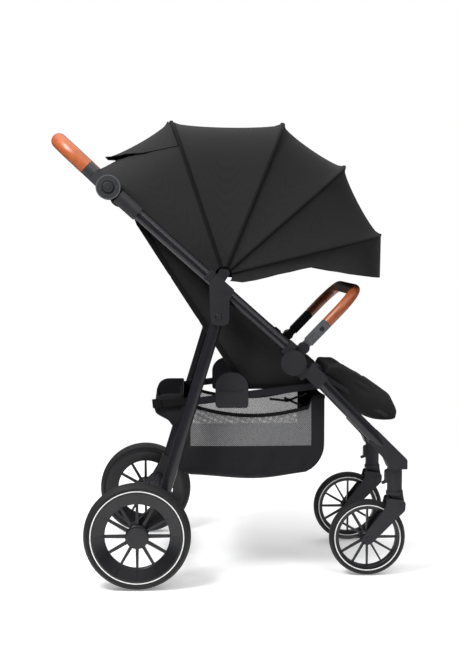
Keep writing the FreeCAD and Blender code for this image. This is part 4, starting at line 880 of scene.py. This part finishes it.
# %% [markdown]
# ## Padded pieces
# The seat cushion, the back pad and the leg rest are foam in fabric. A bevelled block would look hard. Each
# starts from its CAD solid, is remeshed evenly and drawn in a little, and cloth pressure then blows it up,
# which crowns it between its edges. How far a point may move is capped, so the pad keeps its size. Sewn
# channels are pressed in afterwards, because the remesh would smooth them away. The leg rest's solid has a
# pocket for its board, which the cloth hides, so that pad starts from its side profile instead.

# %% Puff a pad out of its solid
PAD_VOXEL = 0.0055
PAD_DRAWN_IN = 0.003
PAD_PRESSURE = 4.0
PAD_MOST_MOVE = 0.009
CLOTH_FRAMES = 20


def puffed(name, node, body, channels, source=None):
    """Pad in the place of a CAD node. source is its own shape, where the node's won't do."""
    if source is None:
        source = bmesh.new()
        source.from_mesh(frame["nodes"][node].data)
        bmesh.ops.remove_doubles(source, verts=source.verts, dist=1e-5)
    pad = make_piece(name, source, seat_cloth, None, [node])
    remesh = pad.modifiers.new("even", "REMESH")
    remesh.mode = "VOXEL"
    remesh.voxel_size = PAD_VOXEL
    settle(pad)
    drawn_in = bmesh.new()
    drawn_in.from_mesh(pad.data)
    drawn_in.normal_update()
    for vert in drawn_in.verts:
        vert.co -= vert.normal * PAD_DRAWN_IN
    drawn_in.to_mesh(pad.data)
    drawn_in.free()
    before = [vert.co.copy() for vert in pad.data.vertices]
    cloth = pad.modifiers.new("cloth", "CLOTH")
    cloth.settings.use_pressure = True
    cloth.settings.uniform_pressure_force = PAD_PRESSURE
    cloth.settings.quality = 5
    cloth.settings.effector_weights.gravity = 0
    cloth.point_cache.frame_start = 1
    cloth.point_cache.frame_end = CLOTH_FRAMES
    for number in range(1, CLOTH_FRAMES + 1):
        bpy.context.scene.frame_set(number)
    settle(pad)
    bpy.context.scene.frame_set(1)
    for vert, start in zip(pad.data.vertices, before):
        move = vert.co - start
        if move.length > PAD_MOST_MOVE:
            vert.co = start + move * (PAD_MOST_MOVE / move.length)
    round_off(pad)
    normals = [vert.normal.copy() for vert in pad.data.vertices]
    for vert, normal in zip(pad.data.vertices, normals):
        vert.co = channels(vert.co.copy(), normal)
    finish_surface(pad, 60)
    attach(pad, body)
    print(name, "faces", len(pad.data.polygons))


# %% [markdown]
# ### Sewn channels
# A sewn line pulls the cloth down to the foam's core, in a soft trough whose depth falls off like a bell
# curve. Each function below knows one pad's lines, and moves a point only as far as its surface faces the
# pad's front, so the sides and the back stay as they are.

# %% Lines of sewing on each pad
def groove(distance, width, depth):
    """How far a sewn channel presses in at a distance from its line."""
    return depth * math.exp(-(distance / width) ** 2)


def panel_frame(joint, lean):
    """Place and directions of a hinged panel: along it, and out of its front face."""
    along = toward(lean)
    return joint_place(joint), along, -quarter_turn(along)


BACK_LEAN = 180 - 56.8
LEG_REST_LEAN = -32.5
back_origin, back_along, back_out = panel_frame("backrest_recline", BACK_LEAN)
rest_origin, rest_along, rest_down = panel_frame("leg_rest_tilt", LEG_REST_LEAN)
BACK_CROSS_LINES = (0.13, 0.205, 0.28, 0.355)
BACK_SIDE_LINE = 0.118
REST_CROSS_LINES = (0.075, 0.14)
SEAT_SIDE_LINE = 0.1
SEAT_REAR_LINE = 0.085


def back_channels(place, normal):
    along = (place - back_origin).dot(back_along)
    press = sum(groove(along - line, 0.005, 0.006) for line in BACK_CROSS_LINES)
    press += groove(abs(place.y) - BACK_SIDE_LINE, 0.005, 0.006)
    return place - back_out * press * max(0.0, normal.dot(back_out))


def rest_channels(place, normal):
    along = (place - rest_origin).dot(rest_along)
    press = sum(groove(along - line, 0.005, 0.005) for line in REST_CROSS_LINES)
    return place + rest_down * press * max(0.0, -normal.dot(rest_down))


def seat_channels(place, normal):
    press = groove(abs(place.y) - SEAT_SIDE_LINE, 0.006, 0.006)
    press += groove(place.x - (back_origin.x + SEAT_REAR_LINE), 0.006, 0.005)
    return place - Vector((0, 0, 1)) * press * max(0.0, normal.z)


# %% [markdown]
# ### The leg rest's block
# The block is its side profile given a width, with its edges bevelled. An extrusion would make it in one go,
# but it puts the faces in an order that differs from run to run. The bevel's last digits follow that order,
# and cloth pressure makes millimetres of them. So the block's few faces are made in an order of their own,
# and every run gives the same pad.

# %% The leg rest's own block, and the three pads
REST_PROFILE = [(0.020, -0.004), (0.016, 0.020), (0.042, 0.031), (0.100, 0.031), (0.150, 0.035),
                (0.192, 0.033), (0.227, 0.018), (0.235, -0.006), (0.204, -0.0255), (0.164, -0.035),
                (0.100, -0.036), (0.056, -0.0145)]
REST_INSET = 0.005
REST_EDGE = 0.008


def rest_block():
    """The leg rest's foam from its side profile, thick under the calves and shallow beside the hinge."""
    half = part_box("leg_rest_pad")[1][1] - REST_INSET
    shape = bmesh.new()
    near = [shape.verts.new(rest_origin + rest_along * along - rest_down * up + Vector((0, -half, 0)))
            for along, up in REST_PROFILE]
    far = [shape.verts.new(corner.co + Vector((0, 2 * half, 0))) for corner in near]
    shape.faces.new(near)
    shape.faces.new(far[::-1])
    for index in range(len(near)):
        shape.faces.new((near[index - 1], near[index], far[index], far[index - 1]))
    bmesh.ops.recalc_face_normals(shape, faces=shape.faces)
    bmesh.ops.bevel(shape, geom=shape.edges[:], offset=REST_EDGE, segments=3, profile=0.5, affect="EDGES",
                    clamp_overlap=True, material=-1)
    bmesh.ops.recalc_face_normals(shape, faces=shape.faces)
    return shape


puffed("seat_pad", "seat_cushion", "chassis", seat_channels)
puffed("back_pad", "backrest_pad", "backrest", back_channels)
puffed("leg_pad", "leg_rest_pad", "leg_rest", rest_channels, rest_block())

# %% [markdown]
# ## Small fittings
# Screw heads sit in the recesses over the leg pivots, dark buttons in those of the bumper's end blocks, and
# a steel ring lies round each bumper pivot on its inner face. All three are round, so each is a short profile
# spun about its own axis, as on a lathe.

# %% Screw heads, clip buttons and rings
SCREW_HEAD = [(0.0, 0.0), (0.0022, 0.0), (0.0026, 0.0011), (0.0058, 0.0013), (0.0068, 0.0007), (0.0070, 0.0),
              (0.0, 0.0)]
CLIP_BUTTON = [(0.0, 0.0015), (0.0044, 0.0015), (0.0051, 0.0010), (0.0052, 0.0), (0.0, 0.0)]
PIVOT_RING = [(0.0060, 0.0), (0.0060, 0.0011), (0.0078, 0.0011), (0.0082, 0.0006), (0.0082, 0.0),
              (0.0060, 0.0)]
BRACKET_RECESS = 0.0014
CLIP_RECESS = 0.0009
CLIP_DEPTH = 0.0243
BUTTON_FROM_PIVOT = 0.062


def spun(name, place, side, profile, material, body):
    """Solid spun about the Y axis from a profile of (radius, height towards the outside)."""
    shape = bmesh.new()
    last = shape.verts.new((profile[0][0], 0, profile[0][1]))
    for radius, height in profile[1:]:
        last = bmesh.ops.extrude_vert_indiv(shape, verts=[last])["verts"][0]
        last.co = (radius, 0, height)
    bmesh.ops.spin(shape, geom=shape.verts[:] + shape.edges[:], cent=(0, 0, 0), axis=(0, 0, 1),
                   angle=2 * math.pi, steps=32)
    bmesh.ops.remove_doubles(shape, verts=shape.verts, dist=1e-6)
    lean = Matrix.Rotation(-side * math.pi / 2, 3, "X")
    bmesh.ops.rotate(shape, verts=shape.verts, matrix=lean, cent=(0, 0, 0))
    bmesh.ops.translate(shape, verts=shape.verts, vec=place)
    bmesh.ops.recalc_face_normals(shape, faces=shape.faces)
    make_piece(name, shape, material, body, smooth=35)


leg_pivot = joint_place("rear_leg_fold")
bumper_pivot = joint_place("bumper_tilt")
bracket_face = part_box("leg_bracket_left")[1][1] - BRACKET_RECESS
clip_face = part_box("bumper_ends")[1][1]
bar_way = middle_of("bumper_ends") - bumper_pivot
bar_way.y = 0
button = bumper_pivot + bar_way.normalized() * BUTTON_FROM_PIVOT
for name, side in SIDES.items():
    for stem, place, out, facing, profile, material, body in (
            ("pivot_screw", leg_pivot, bracket_face, side, SCREW_HEAD, paint, "chassis"),
            ("clip_button", button, clip_face - CLIP_RECESS, side, CLIP_BUTTON, plastic, "bumper"),
            ("pivot_ring", bumper_pivot, clip_face - CLIP_DEPTH, -side, PIVOT_RING, steel, "bumper")):
        spun(f"{stem}_{name}", (place.x, side * out, place.z), facing, profile, material, body)
print("six fittings on")

# %% [markdown]
# ## Seat sides
# Each side of the seat is a panel of cloth that hangs from the main tube to the seat board. Its outline has only
# straight edges, so a fine grid is cut along them, which leaves enough points inside for the cloth's shape: a
# little belly outwards, and small pulls towards the seams. The panel is baked in place and rides on no body. Tapes
# bind its rear and lower edges.

# %% Corners of the seat's side panels
hub = joint_place("handle_tilt")
tube_line = (hub - joint_place("frame_fold")).normalized()
side_low, side_high = (Vector(corner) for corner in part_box("seat_sides"))
PANEL_CORNERS = {
    "back_top": back_origin - Vector((0.016, 0, 0.008)) + back_along * 0.452,
    "back_foot": back_origin + Vector((-0.012, 0, -0.020)),
    "seat_foot": back_origin + Vector((0.150, 0, -0.018)),
    "front": rest_origin + Vector((-0.014, 0, 0.022)),
    "hub": hub - tube_line * 0.062,
}
corner_places = list(PANEL_CORNERS.values())
PANEL_EDGES = list(zip(corner_places, corner_places[1:] + corner_places[:1]))


def into_panel(first, second):
    """Direction into the panel from one of its edges, in the side view."""
    return quarter_turn((second - first).normalized())


print("panel edges", len(PANEL_EDGES))

# %% Cut and shape the side panels
PANEL_CUTS = 56
PANEL_MARGIN = 1.1
PANEL_INSIDE = 0.002
PANEL_CLOTH = 0.0018
BELLY = 0.0085
BELLY_REACH = 0.045
SEAM_PULL = 0.0016
PULL_WAVES = 62
PULL_FADE = 0.05


def side_panel(name, side):
    shape = bmesh.new()
    bmesh.ops.create_grid(shape, x_segments=PANEL_CUTS, y_segments=PANEL_CUTS, size=0.5)
    size = side_high - side_low
    middle = (side_high + side_low) / 2
    bmesh.ops.scale(shape, verts=shape.verts, vec=(size.x * PANEL_MARGIN, size.z * PANEL_MARGIN, 1))
    bmesh.ops.rotate(shape, verts=shape.verts, matrix=Matrix.Rotation(math.pi / 2, 3, "X"), cent=(0, 0, 0))
    y = side * (side_high.y - PANEL_INSIDE)
    bmesh.ops.translate(shape, verts=shape.verts, vec=(middle.x, y, middle.z))
    for first, second in PANEL_EDGES:
        bmesh.ops.bisect_plane(shape, geom=shape.verts[:] + shape.edges[:] + shape.faces[:],
                               plane_co=(first.x, y, first.z), plane_no=into_panel(first, second),
                               clear_inner=True)
    bmesh.ops.remove_doubles(shape, verts=shape.verts, dist=0.0015)
    for vert in shape.verts:
        inset = min(abs((vert.co - first).dot(into_panel(first, second))) for first, second in PANEL_EDGES)
        belly = BELLY * (1 - math.exp(-(inset / BELLY_REACH) ** 2))
        pull = SEAM_PULL * math.sin((vert.co.x * 0.7 + vert.co.z) * PULL_WAVES) * math.exp(-inset / PULL_FADE)
        vert.co.y += side * (belly + pull)
    bmesh.ops.recalc_face_normals(shape, faces=shape.faces)
    panel = make_piece(name, shape, seat_cloth, None, ["seat_sides"], smooth=70)
    thicken(panel, PANEL_CLOTH)
    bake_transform(panel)


for name, side in SIDES.items():
    side_panel("seat_side_" + name, side)

# %% Tapes that bind the panels' edges
TAPE_PROUD = 0.001


def flat_tape(name, path, y, body, width, thickness):
    """Tape that lies in the side view along straight runs. A width below 0 goes to the path's other side."""
    shape = bmesh.new()
    last = shape.verts.new((path[0].x, y, path[0].z))
    edges = []
    for spot in path[1:]:
        grown = bmesh.ops.extrude_vert_indiv(shape, verts=[last])
        last = grown["verts"][0]
        last.co = (spot.x, y, spot.z)
        edges += grown["edges"]
    bmesh.ops.subdivide_edges(shape, edges=edges, cuts=10)
    run = (path[-1] - path[0]).normalized()
    extrude_row(shape, shape.edges[:], quarter_turn(run) * width)
    tape = make_piece(name, shape, binding, smooth=60)
    thicken(tape, thickness)
    if body:
        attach(tape, body)
    return tape


for name, side in SIDES.items():
    y = side * (side_high.y + TAPE_PROUD)
    back_foot = PANEL_CORNERS["back_foot"] + Vector((0.001, 0, 0.006))
    flat_tape(f"seat_back_binding_{name}", [back_foot, PANEL_CORNERS["back_top"]], y, "backrest",
              width=-0.011, thickness=0.0034)
    flat_tape(f"seat_foot_binding_{name}", [PANEL_CORNERS["back_foot"], PANEL_CORNERS["seat_foot"]], y,
              "chassis", width=0.012, thickness=0.0034)
print("panel edges bound")

# %% [markdown]
# ## Shoulder straps and back cover
# The straps are flat webbing. The remesh that makes a pad would erase anything so thin, so they are modelled
# directly: a strip that comes out of the back pad and lies over it, with a soft sleeve over its upper half.
# Behind the backrest a sheet of the seat's cloth closes the frame.

# %% Shoulder straps
def strap(name, y, path, material, width, thickness):
    """Flat strap through points given as (along the backrest, out from the height of the strap's solid)."""
    shape = bmesh.new()
    tip = []
    for along, out in path:
        tip = bmesh.ops.extrude_vert_indiv(shape, verts=tip)["verts"] if tip else [shape.verts.new()]
        tip[0].co = back_origin + back_along * along + back_out * (face_out + out)
        tip[0].co.y = y - width / 2
    extrude_row(shape, shape.edges[:], Vector((0, width, 0)))
    bmesh.ops.recalc_face_normals(shape, faces=shape.faces)
    piece = make_piece(name, shape, material, smooth=60)
    thicken(piece, thickness)
    round_off(piece)
    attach(piece, "backrest")
    return piece


def depths(node):
    """How far each point of a node is out of the backrest's front face."""
    return [(vert.co - back_origin).dot(back_out) for vert in frame["nodes"][node].data.vertices]


face_out = max(depths("shoulder_straps"))
STRAP_Y = 0.062
WEB_PATH = [(0.392, -0.016), (0.385, -0.001), (0.33, 0.001), (0.25, 0.003), (0.17, 0.006), (0.11, 0.010),
            (0.075, 0.012)]
SLEEVE_PATH = [(0.372, 0.001), (0.35, 0.005), (0.29, 0.006), (0.23, 0.007), (0.205, 0.006)]
for name, side in SIDES.items():
    web = strap(f"shoulder_web_{name}", side * STRAP_Y, WEB_PATH, webbing, width=0.025, thickness=0.0016)
    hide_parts("shoulder_straps")
    strap(f"shoulder_pad_{name}", side * STRAP_Y, SLEEVE_PATH, seat_cloth, width=0.044, thickness=0.007)
print("straps on, out by", round(face_out, 4))

# %% Rear cover of the backrest
COVER_LENGTH = 0.425
COVER_START = 0.018
COVER_SIDE_GAP = 0.003
COVER_GAP = 0.0015
COVER_SAG = 0.006
COVER_RIPPLE = 0.0012
shape = bmesh.new()
bmesh.ops.create_grid(shape, x_segments=26, y_segments=20, size=0.5)
board_back = min(depths("backrest_frame"))
board_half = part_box("backrest_frame")[1][1]
for vert in shape.verts:
    along = (vert.co.x + 0.5) * COVER_LENGTH + COVER_START
    across = vert.co.y * 2 * (board_half - COVER_SIDE_GAP)
    sag = COVER_SAG * math.cos(vert.co.x * math.pi) * math.cos(vert.co.y * math.pi)
    sag += COVER_RIPPLE * math.sin(vert.co.x * 40) * math.cos(vert.co.y * 9)
    out = board_back - COVER_GAP - sag
    vert.co = back_origin + back_along * along + back_out * out + Vector((0, across, 0))
bmesh.ops.recalc_face_normals(shape, faces=shape.faces)
back_cover = make_piece("backrest_rear_cover", shape, seat_cloth)
thicken(back_cover, PANEL_CLOTH)
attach(back_cover, "backrest")

# %% [markdown]
# ## Basket
# The basket is a sling of cloth with a net window in each side and a taped rim that sags between its
# hangers. A simulation could hang it, but this cloth is stiff enough to keep its corners, and drawing them
# keeps them in place. It starts as a flat grid for its floor. The grid's rim is pulled up level by level,
# and each level is set to the basket's outline at that height. A raised pocket hangs behind the rear legs.

# %% [markdown]
# ### Net windows
# The windows are a fine net. Modelled cord by cord it would be a very heavy mesh, so the wall of cloth stays
# one thin sheet, and its finish is see-through inside each cell of a flat pattern. The two sides turn the
# pattern by different angles, so no bands appear where one is seen through the other.

# %% Finish of the net
NET_PITCH = 0.0034
CORD_SHARE = 0.235
NET_GREY = (0.19, 0.19, 0.194)


def net_finish(name, turn):
    """Net of cords between cells in the side view, see-through inside each cell. turn slants its pattern."""
    material, tree, shader, place = blank_finish(name, NET_GREY, 0.8, Specular_IOR_Level=0.2)
    mapped = add_node(tree, "ShaderNodeMapping", Vector=place)
    mapped.inputs["Rotation"].default_value = (math.pi / 2, 0, math.radians(turn))
    flat_cells = {"voronoi_dimensions": "2D", "feature": "DISTANCE_TO_EDGE"}
    cells = add_node(tree, "ShaderNodeTexVoronoi", flat_cells, Vector=mapped.outputs[0], Scale=1 / NET_PITCH,
                     Randomness=0.3)
    tint = colour_between(tree, noise(tree, place, 300.0), darker(NET_GREY, 0.7), darker(NET_GREY, 1.3))
    feed(tree, shader.inputs["Base Color"], tint)
    feed(tree, shader.inputs["Alpha"], maths(tree, "LESS_THAN", cells.outputs["Distance"], CORD_SHARE))
    return material


nets = [net_finish("basket_net_left", 31), net_finish("basket_net_right", 45)]
print("nets", len(nets))

# %% [markdown]
# ### Outline of the basket
# The wall is set out by height. The solid band at its foot has level rows, and the rows of the net above it
# spread out evenly up to the rim, which sags between its hangers.

# %% Basket's outline at each height
basket_low, basket_high = (Vector(corner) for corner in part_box("basket_fabric"))
FLOOR_Z = basket_low.z + 0.002
HALF = basket_high.y - 0.001
REAR_X = basket_low.x + 0.066
FRONT_X = basket_high.x - 0.002
BAND_HEIGHT = 0.073
BAND_LEVEL = 9
LEVELS = 20
RIM_TAPE = 0.0085
RIM_AT_REAR = 0.180
RIM_FALL = 0.012
RIM_SAG = 0.024
RIM_END_DIP = 0.008
SAG_FROM = 0.01
SAG_TO = 0.045
FRONT_PEAK = [(FRONT_X - 0.040, 0.0), (FRONT_X - 0.028, 0.026), (FRONT_X, 0.026)]
AT_SIDE = 0.98


def between(table, at):
    """Smooth reading of a short table."""
    for (start, low), (end, high) in zip(table, table[1:]):
        if at <= end:
            part = max(0.0, (at - start) / (end - start))
            part = part * part * (3 - 2 * part) if part < 1 else 1
            return low + (high - low) * part
    return table[-1][1]


def turned_in(height, radius):
    """How far a wall has curved in at a height over the floor, where a corner of that radius joins them."""
    return radius - math.sqrt(radius ** 2 - (radius - height) ** 2) if height < radius else 0.0


def rim_height(x, y):
    """Height of the rim over the floor: it sags between the legs, and is highest at the front."""
    share = max(0.0, min(1.0, (x - REAR_X - SAG_FROM) / (FRONT_X - SAG_TO - REAR_X - SAG_FROM)))
    side = RIM_AT_REAR - RIM_FALL * share - RIM_SAG * 4 * share * (1 - share)
    side += between(FRONT_PEAK, x)
    at_end = x > FRONT_X - 0.03 or x < REAR_X + 0.02
    return side - RIM_END_DIP * math.cos(y / HALF * math.pi / 2) * at_end


def wall_height(level, rim):
    """Height over the floor of a level of the wall: level up to the band's top, then following the rim."""
    if level <= BAND_LEVEL:
        return BAND_HEIGHT * level / BAND_LEVEL
    if level == LEVELS:
        return rim
    return BAND_HEIGHT + (rim - RIM_TAPE - BAND_HEIGHT) * (level - BAND_LEVEL) / (LEVELS - 1 - BAND_LEVEL)


print("basket rim from", round(rim_height(REAR_X, HALF), 3), "to", round(rim_height(FRONT_X, HALF), 3))

# %% Pull the basket up from its floor
MEAN_RIM = 0.17
FRONT_CORNER = 0.078
REAR_CORNER = 0.026
SIDE_CORNER = 0.020
WALL_BULGE = 0.006
BAND_RIPPLE = 0.0022
BAND_DROOP = 0.010
FLOOR_SAG = 0.004


def tub_place(share, across, level):
    """Point of the wall: share goes from rear to front, across from -1 to 1, and level from 0 to LEVELS."""
    height = wall_height(level, MEAN_RIM)
    front = FRONT_X - turned_in(height, FRONT_CORNER)
    rear = REAR_X + turned_in(height, REAR_CORNER)
    half = HALF - turned_in(height, SIDE_CORNER)
    x = rear + (front - rear) * share
    bulge = WALL_BULGE * math.sin(math.pi * min(level / LEVELS * 1.15, 1)) * math.sin(math.pi * share)
    in_band = max(0.0, 1 - height / BAND_HEIGHT)
    ripple = math.sin(24 * share) + 0.6 * math.sin(43 * share + 3 * in_band)
    bulge += BAND_RIPPLE * math.sin(math.pi * in_band) * ripple
    y = half * across + math.copysign(bulge, across) * (abs(across) > AT_SIDE)
    droop = BAND_DROOP * math.sin(math.pi * share ** 1.4) * in_band
    return Vector((x, y, FLOOR_Z + wall_height(level, rim_height(x, y)) - droop))


def floor_grid(x_segments, y_segments):
    """Flat grid, with how far along and across each of its points is."""
    shape = bmesh.new()
    bmesh.ops.create_grid(shape, x_segments=x_segments, y_segments=y_segments, size=0.5)
    return shape, {vert: (vert.co.x + 0.5, vert.co.y * 2) for vert in shape.verts}


def pull_up(shape, share_of, place_at, levels):
    """Pulls the rim of a grid up level by level, each set to its outline."""
    edges = [edge for edge in shape.edges if edge.is_boundary]
    for level in range(1, levels + 1):
        parents = {vert.co.copy().freeze(): vert for edge in edges for vert in edge.verts}
        grown = bmesh.ops.extrude_edge_only(shape, edges=edges)["geom"]
        for vert in verts_of(grown):
            share_of[vert] = share_of[parents[vert.co.copy().freeze()]]
            vert.co = place_at(*share_of[vert], level)
        edges = edges_of(grown)


shape, share_of = floor_grid(44, 30)
for vert in shape.verts:
    share, across = share_of[vert]
    vert.co = tub_place(share, across, 0)
    vert.co.z -= FLOOR_SAG * math.sin(math.pi * share) * math.cos(across * math.pi / 2)
pull_up(shape, share_of, tub_place, LEVELS)
print("basket points", len(shape.verts))

# %% Net windows and the rim's tape
NET_FROM = 0.065
NET_TO = 0.9
BASKET_CLOTH = 0.0012
TAPE_THICKNESS = 0.0042


def below_tape(middle):
    """Whether a place on the wall is lower than the rim's tape."""
    return middle.z - FLOOR_Z < wall_height(LEVELS - 1, rim_height(middle.x, middle.y))


for face in shape.faces:
    share = sum(share_of[vert][0] for vert in face.verts) / 4
    on_side = all(abs(share_of[vert][1]) > AT_SIDE for vert in face.verts)
    middle = face.calc_center_median()
    over_band = middle.z - FLOOR_Z > BAND_HEIGHT
    if on_side and NET_FROM < share < NET_TO and over_band and below_tape(middle):
        face.material_index = 1 if middle.y > 0 else 2
rim_strip = shape.copy()
bmesh.ops.recalc_face_normals(shape, faces=shape.faces)
basket = make_piece("basket_tub", shape, basket_cloth, None, ["basket_fabric"], smooth=50)
for material in nets:
    basket.data.materials.append(material)
thicken(basket, BASKET_CLOTH)

low_faces = [face for face in rim_strip.faces if below_tape(face.calc_center_median())]
bmesh.ops.delete(rim_strip, geom=low_faces, context="FACES")
bmesh.ops.recalc_face_normals(rim_strip, faces=rim_strip.faces)
rim_tape = make_piece("basket_rim_tape", rim_strip, binding, smooth=60)
thicken(rim_tape, TAPE_THICKNESS)

# %% Rear pocket
POCKET_FLOOR = FLOOR_Z + 0.100
POCKET_HEIGHT = 0.098
POCKET_LEVELS = 14
POCKET_SAG = 0.012
POCKET_CLOTH = 0.003
CORNER_SHARE = 0.45
CORNER_DROP = 0.027
REAR_CURVE = [(0, -0.004), (0.030, 0.025), (0.055, 0.060), (0.075, 0.066), (0.098, 0.064)]
FRONT_CURVE = [(0, 0.002), (0.098, 0.006)]
SIDE_CURVE = [(0, 0.015), (0.04, 0.004), (0.098, 0.009)]


def pocket_place(share, across, level):
    """Point of the pocket's wall, on a level from 0 to POCKET_LEVELS. Its rim rounds down at the rear."""
    near_back = max(0.0, 1 - share / CORNER_SHARE)
    top = POCKET_HEIGHT - CORNER_DROP * (1 - math.sqrt(1 - near_back ** 2))
    height = top * level / POCKET_LEVELS
    rear = REAR_X - between(REAR_CURVE, height)
    front = REAR_X + between(FRONT_CURVE, height)
    sag = POCKET_SAG * math.cos(across * math.pi / 2) * (1 - share) * level / POCKET_LEVELS
    half = HALF - between(SIDE_CURVE, height)
    return Vector((rear + (front - rear) * share, half * across, POCKET_FLOOR + height - sag))


shape, share_of = floor_grid(14, 30)
for vert in shape.verts:
    vert.co = pocket_place(*share_of[vert], 0)
pull_up(shape, share_of, pocket_place, POCKET_LEVELS)
bmesh.ops.recalc_face_normals(shape, faces=shape.faces)
pocket = make_piece("basket_rear_pocket", shape, basket_cloth, smooth=60)
thicken(pocket, POCKET_CLOTH)
round_off(pocket)

# %% [markdown]
# ### What the basket hangs from
# The basket hangs from the struts on short elastics and on a strap behind each rear leg. Every piece of it rides
# on the struts.

# %% Straps of the basket, and what carries it
STRAP_REACH = {"left": 0.046, "right": 0.066}
STRAP_GAP = 0.0026
HOOK_GAP = 0.002
knot = Vector((FRONT_X - 0.092, 0, FLOOR_Z + 0.177))
TIES = {"long": (knot, Vector((FRONT_X - 0.042, 0, FLOOR_Z + 0.195))),
        "short": (knot + Vector((-0.006, 0, 0.009)), Vector((FRONT_X - 0.058, 0, FLOOR_Z + 0.167))),
        "root": (knot + Vector((-0.040, 0, 0.006)), knot + Vector((0.004, 0, 0.001)))}
hung = [basket, rim_tape, pocket]
for name, side in SIDES.items():
    y = side * (HALF + STRAP_GAP)
    rear = Vector((REAR_X - STRAP_REACH[name], 0, FLOOR_Z + 0.165))
    front = Vector((REAR_X + 0.030, 0, FLOOR_Z + 0.174))
    hook = rear + Vector((0.020, 0, 0.002))
    tapes = [(f"basket_elastic_{part}_{name}", ends, y, 0.0055, 0.0014) for part, ends in TIES.items()]
    tapes.append((f"basket_rear_strap_{name}", [rear, front], y, 0.017, 0.0018))
    tapes.append((f"basket_hook_{name}", [rear, hook], y + side * HOOK_GAP, 0.021, 0.0055))
    for tape_name, ends, at_y, width, thickness in tapes:
        hung.append(flat_tape(tape_name, ends, at_y, None, width, thickness))
for piece in hung:
    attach(piece, "struts")
    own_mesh(piece)
print("basket pieces", len(hung))

# %% [markdown]
# ## Camera, floor and light
# The camera looks at the stroller's right side from about three metres, turned two degrees and tipped down
# four. Floor and backdrop are plain and white: the floor glows a little, which leaves only a faint shadow
# under the wheels. The room is dimmer in reflections than behind the stroller, so that black paint stays
# black. The key lamp stands behind and beside the stroller, and a strip draws narrow highlights on the tubes.

# %% Camera and floor
camera_data = bpy.data.cameras.new("camera")
camera_data.sensor_width = 36
camera_data.lens = 62.6
camera_data.clip_end = 50
camera = bpy.data.objects.new("camera", camera_data)
camera.location = (-0.1029, -2.94, 0.7902)
camera.rotation_euler = (math.radians(90 - 4.268), 0, math.radians(-2.016))
bpy.context.scene.collection.objects.link(camera)
bpy.context.scene.camera = camera

shape = bmesh.new()
bmesh.ops.create_circle(shape, cap_ends=True, segments=64, radius=1.5)
mesh = bpy.data.meshes.new("floor")
shape.to_mesh(mesh)
shape.free()
floor = bpy.data.objects.new("floor", mesh)
bpy.context.scene.collection.objects.link(floor)
floor_finish, _, shader, _ = blank_finish("pale_floor", (0.93, 0.93, 0.93), 0.9)
shader.inputs["Emission Color"].default_value = (1, 1, 1, 1)
shader.inputs["Emission Strength"].default_value = 0.24
mesh.materials.append(floor_finish)
print("camera", camera_data.lens, "mm")

# %% A white room, dimmer in reflections
world = bpy.data.worlds.new("white studio")
bpy.context.scene.world = world
world.use_nodes = True
tree = world.node_tree
backdrop = tree.nodes["Background"]
backdrop.inputs["Color"].default_value = (1, 1, 1, 1)
room = add_node(tree, "ShaderNodeBackground", Color=(1, 1, 1, 1), Strength=0.1)
rays = add_node(tree, "ShaderNodeLightPath")
mixed = add_node(tree, "ShaderNodeMixShader")
seen = (rays.outputs["Is Camera Ray"], room.outputs[0], backdrop.outputs[0])
for socket, source in zip(mixed.inputs, seen):
    feed(tree, socket, source)
tree.links.new(mixed.outputs[0], tree.nodes["World Output"].inputs["Surface"])
print("room", world.name)

# %% Lamps
def lamp(name, kind, place, target, power, size, along=None):
    """Lamp aimed at a target. along is the direction of an area lamp's long side."""
    data = bpy.data.lights.new(name, kind)
    data.energy = power
    if kind == "AREA":
        data.shape = "RECTANGLE"
        data.size, data.size_y = size
    else:
        data.angle = math.radians(size)
    item = bpy.data.objects.new(name, data)
    item.location = place
    back = (Vector(place) - Vector(target)).normalized()
    side = Vector(along).cross(back).cross(back) if along else Vector((0, 0, 1)).cross(back)
    side.normalize()
    item.rotation_euler = Matrix((side, back.cross(side), back)).transposed().to_euler()
    bpy.context.scene.collection.objects.link(item)


lamp("ceiling", "SUN", (0.6, 0.3, 5.0), (0, 0, 0), 2.4, 110)
lamp("overhead", "AREA", (0.65, 0.2, 2.9), (0, 0, 0.5), 4, (2.6, 0.8))
lamp("key", "AREA", (-0.95, -1.0, 1.85), (-0.15, -0.2, 1.0), 33, (0.6, 0.6))
lamp("strip", "AREA", (0.77, -1.73, 1.79), (-0.05, -0.2, 0.8), 9, (1.5, 0.3), along=-tube_line)
bpy.context.scene.view_settings.view_transform = "Standard"
print("camera and lamps set")
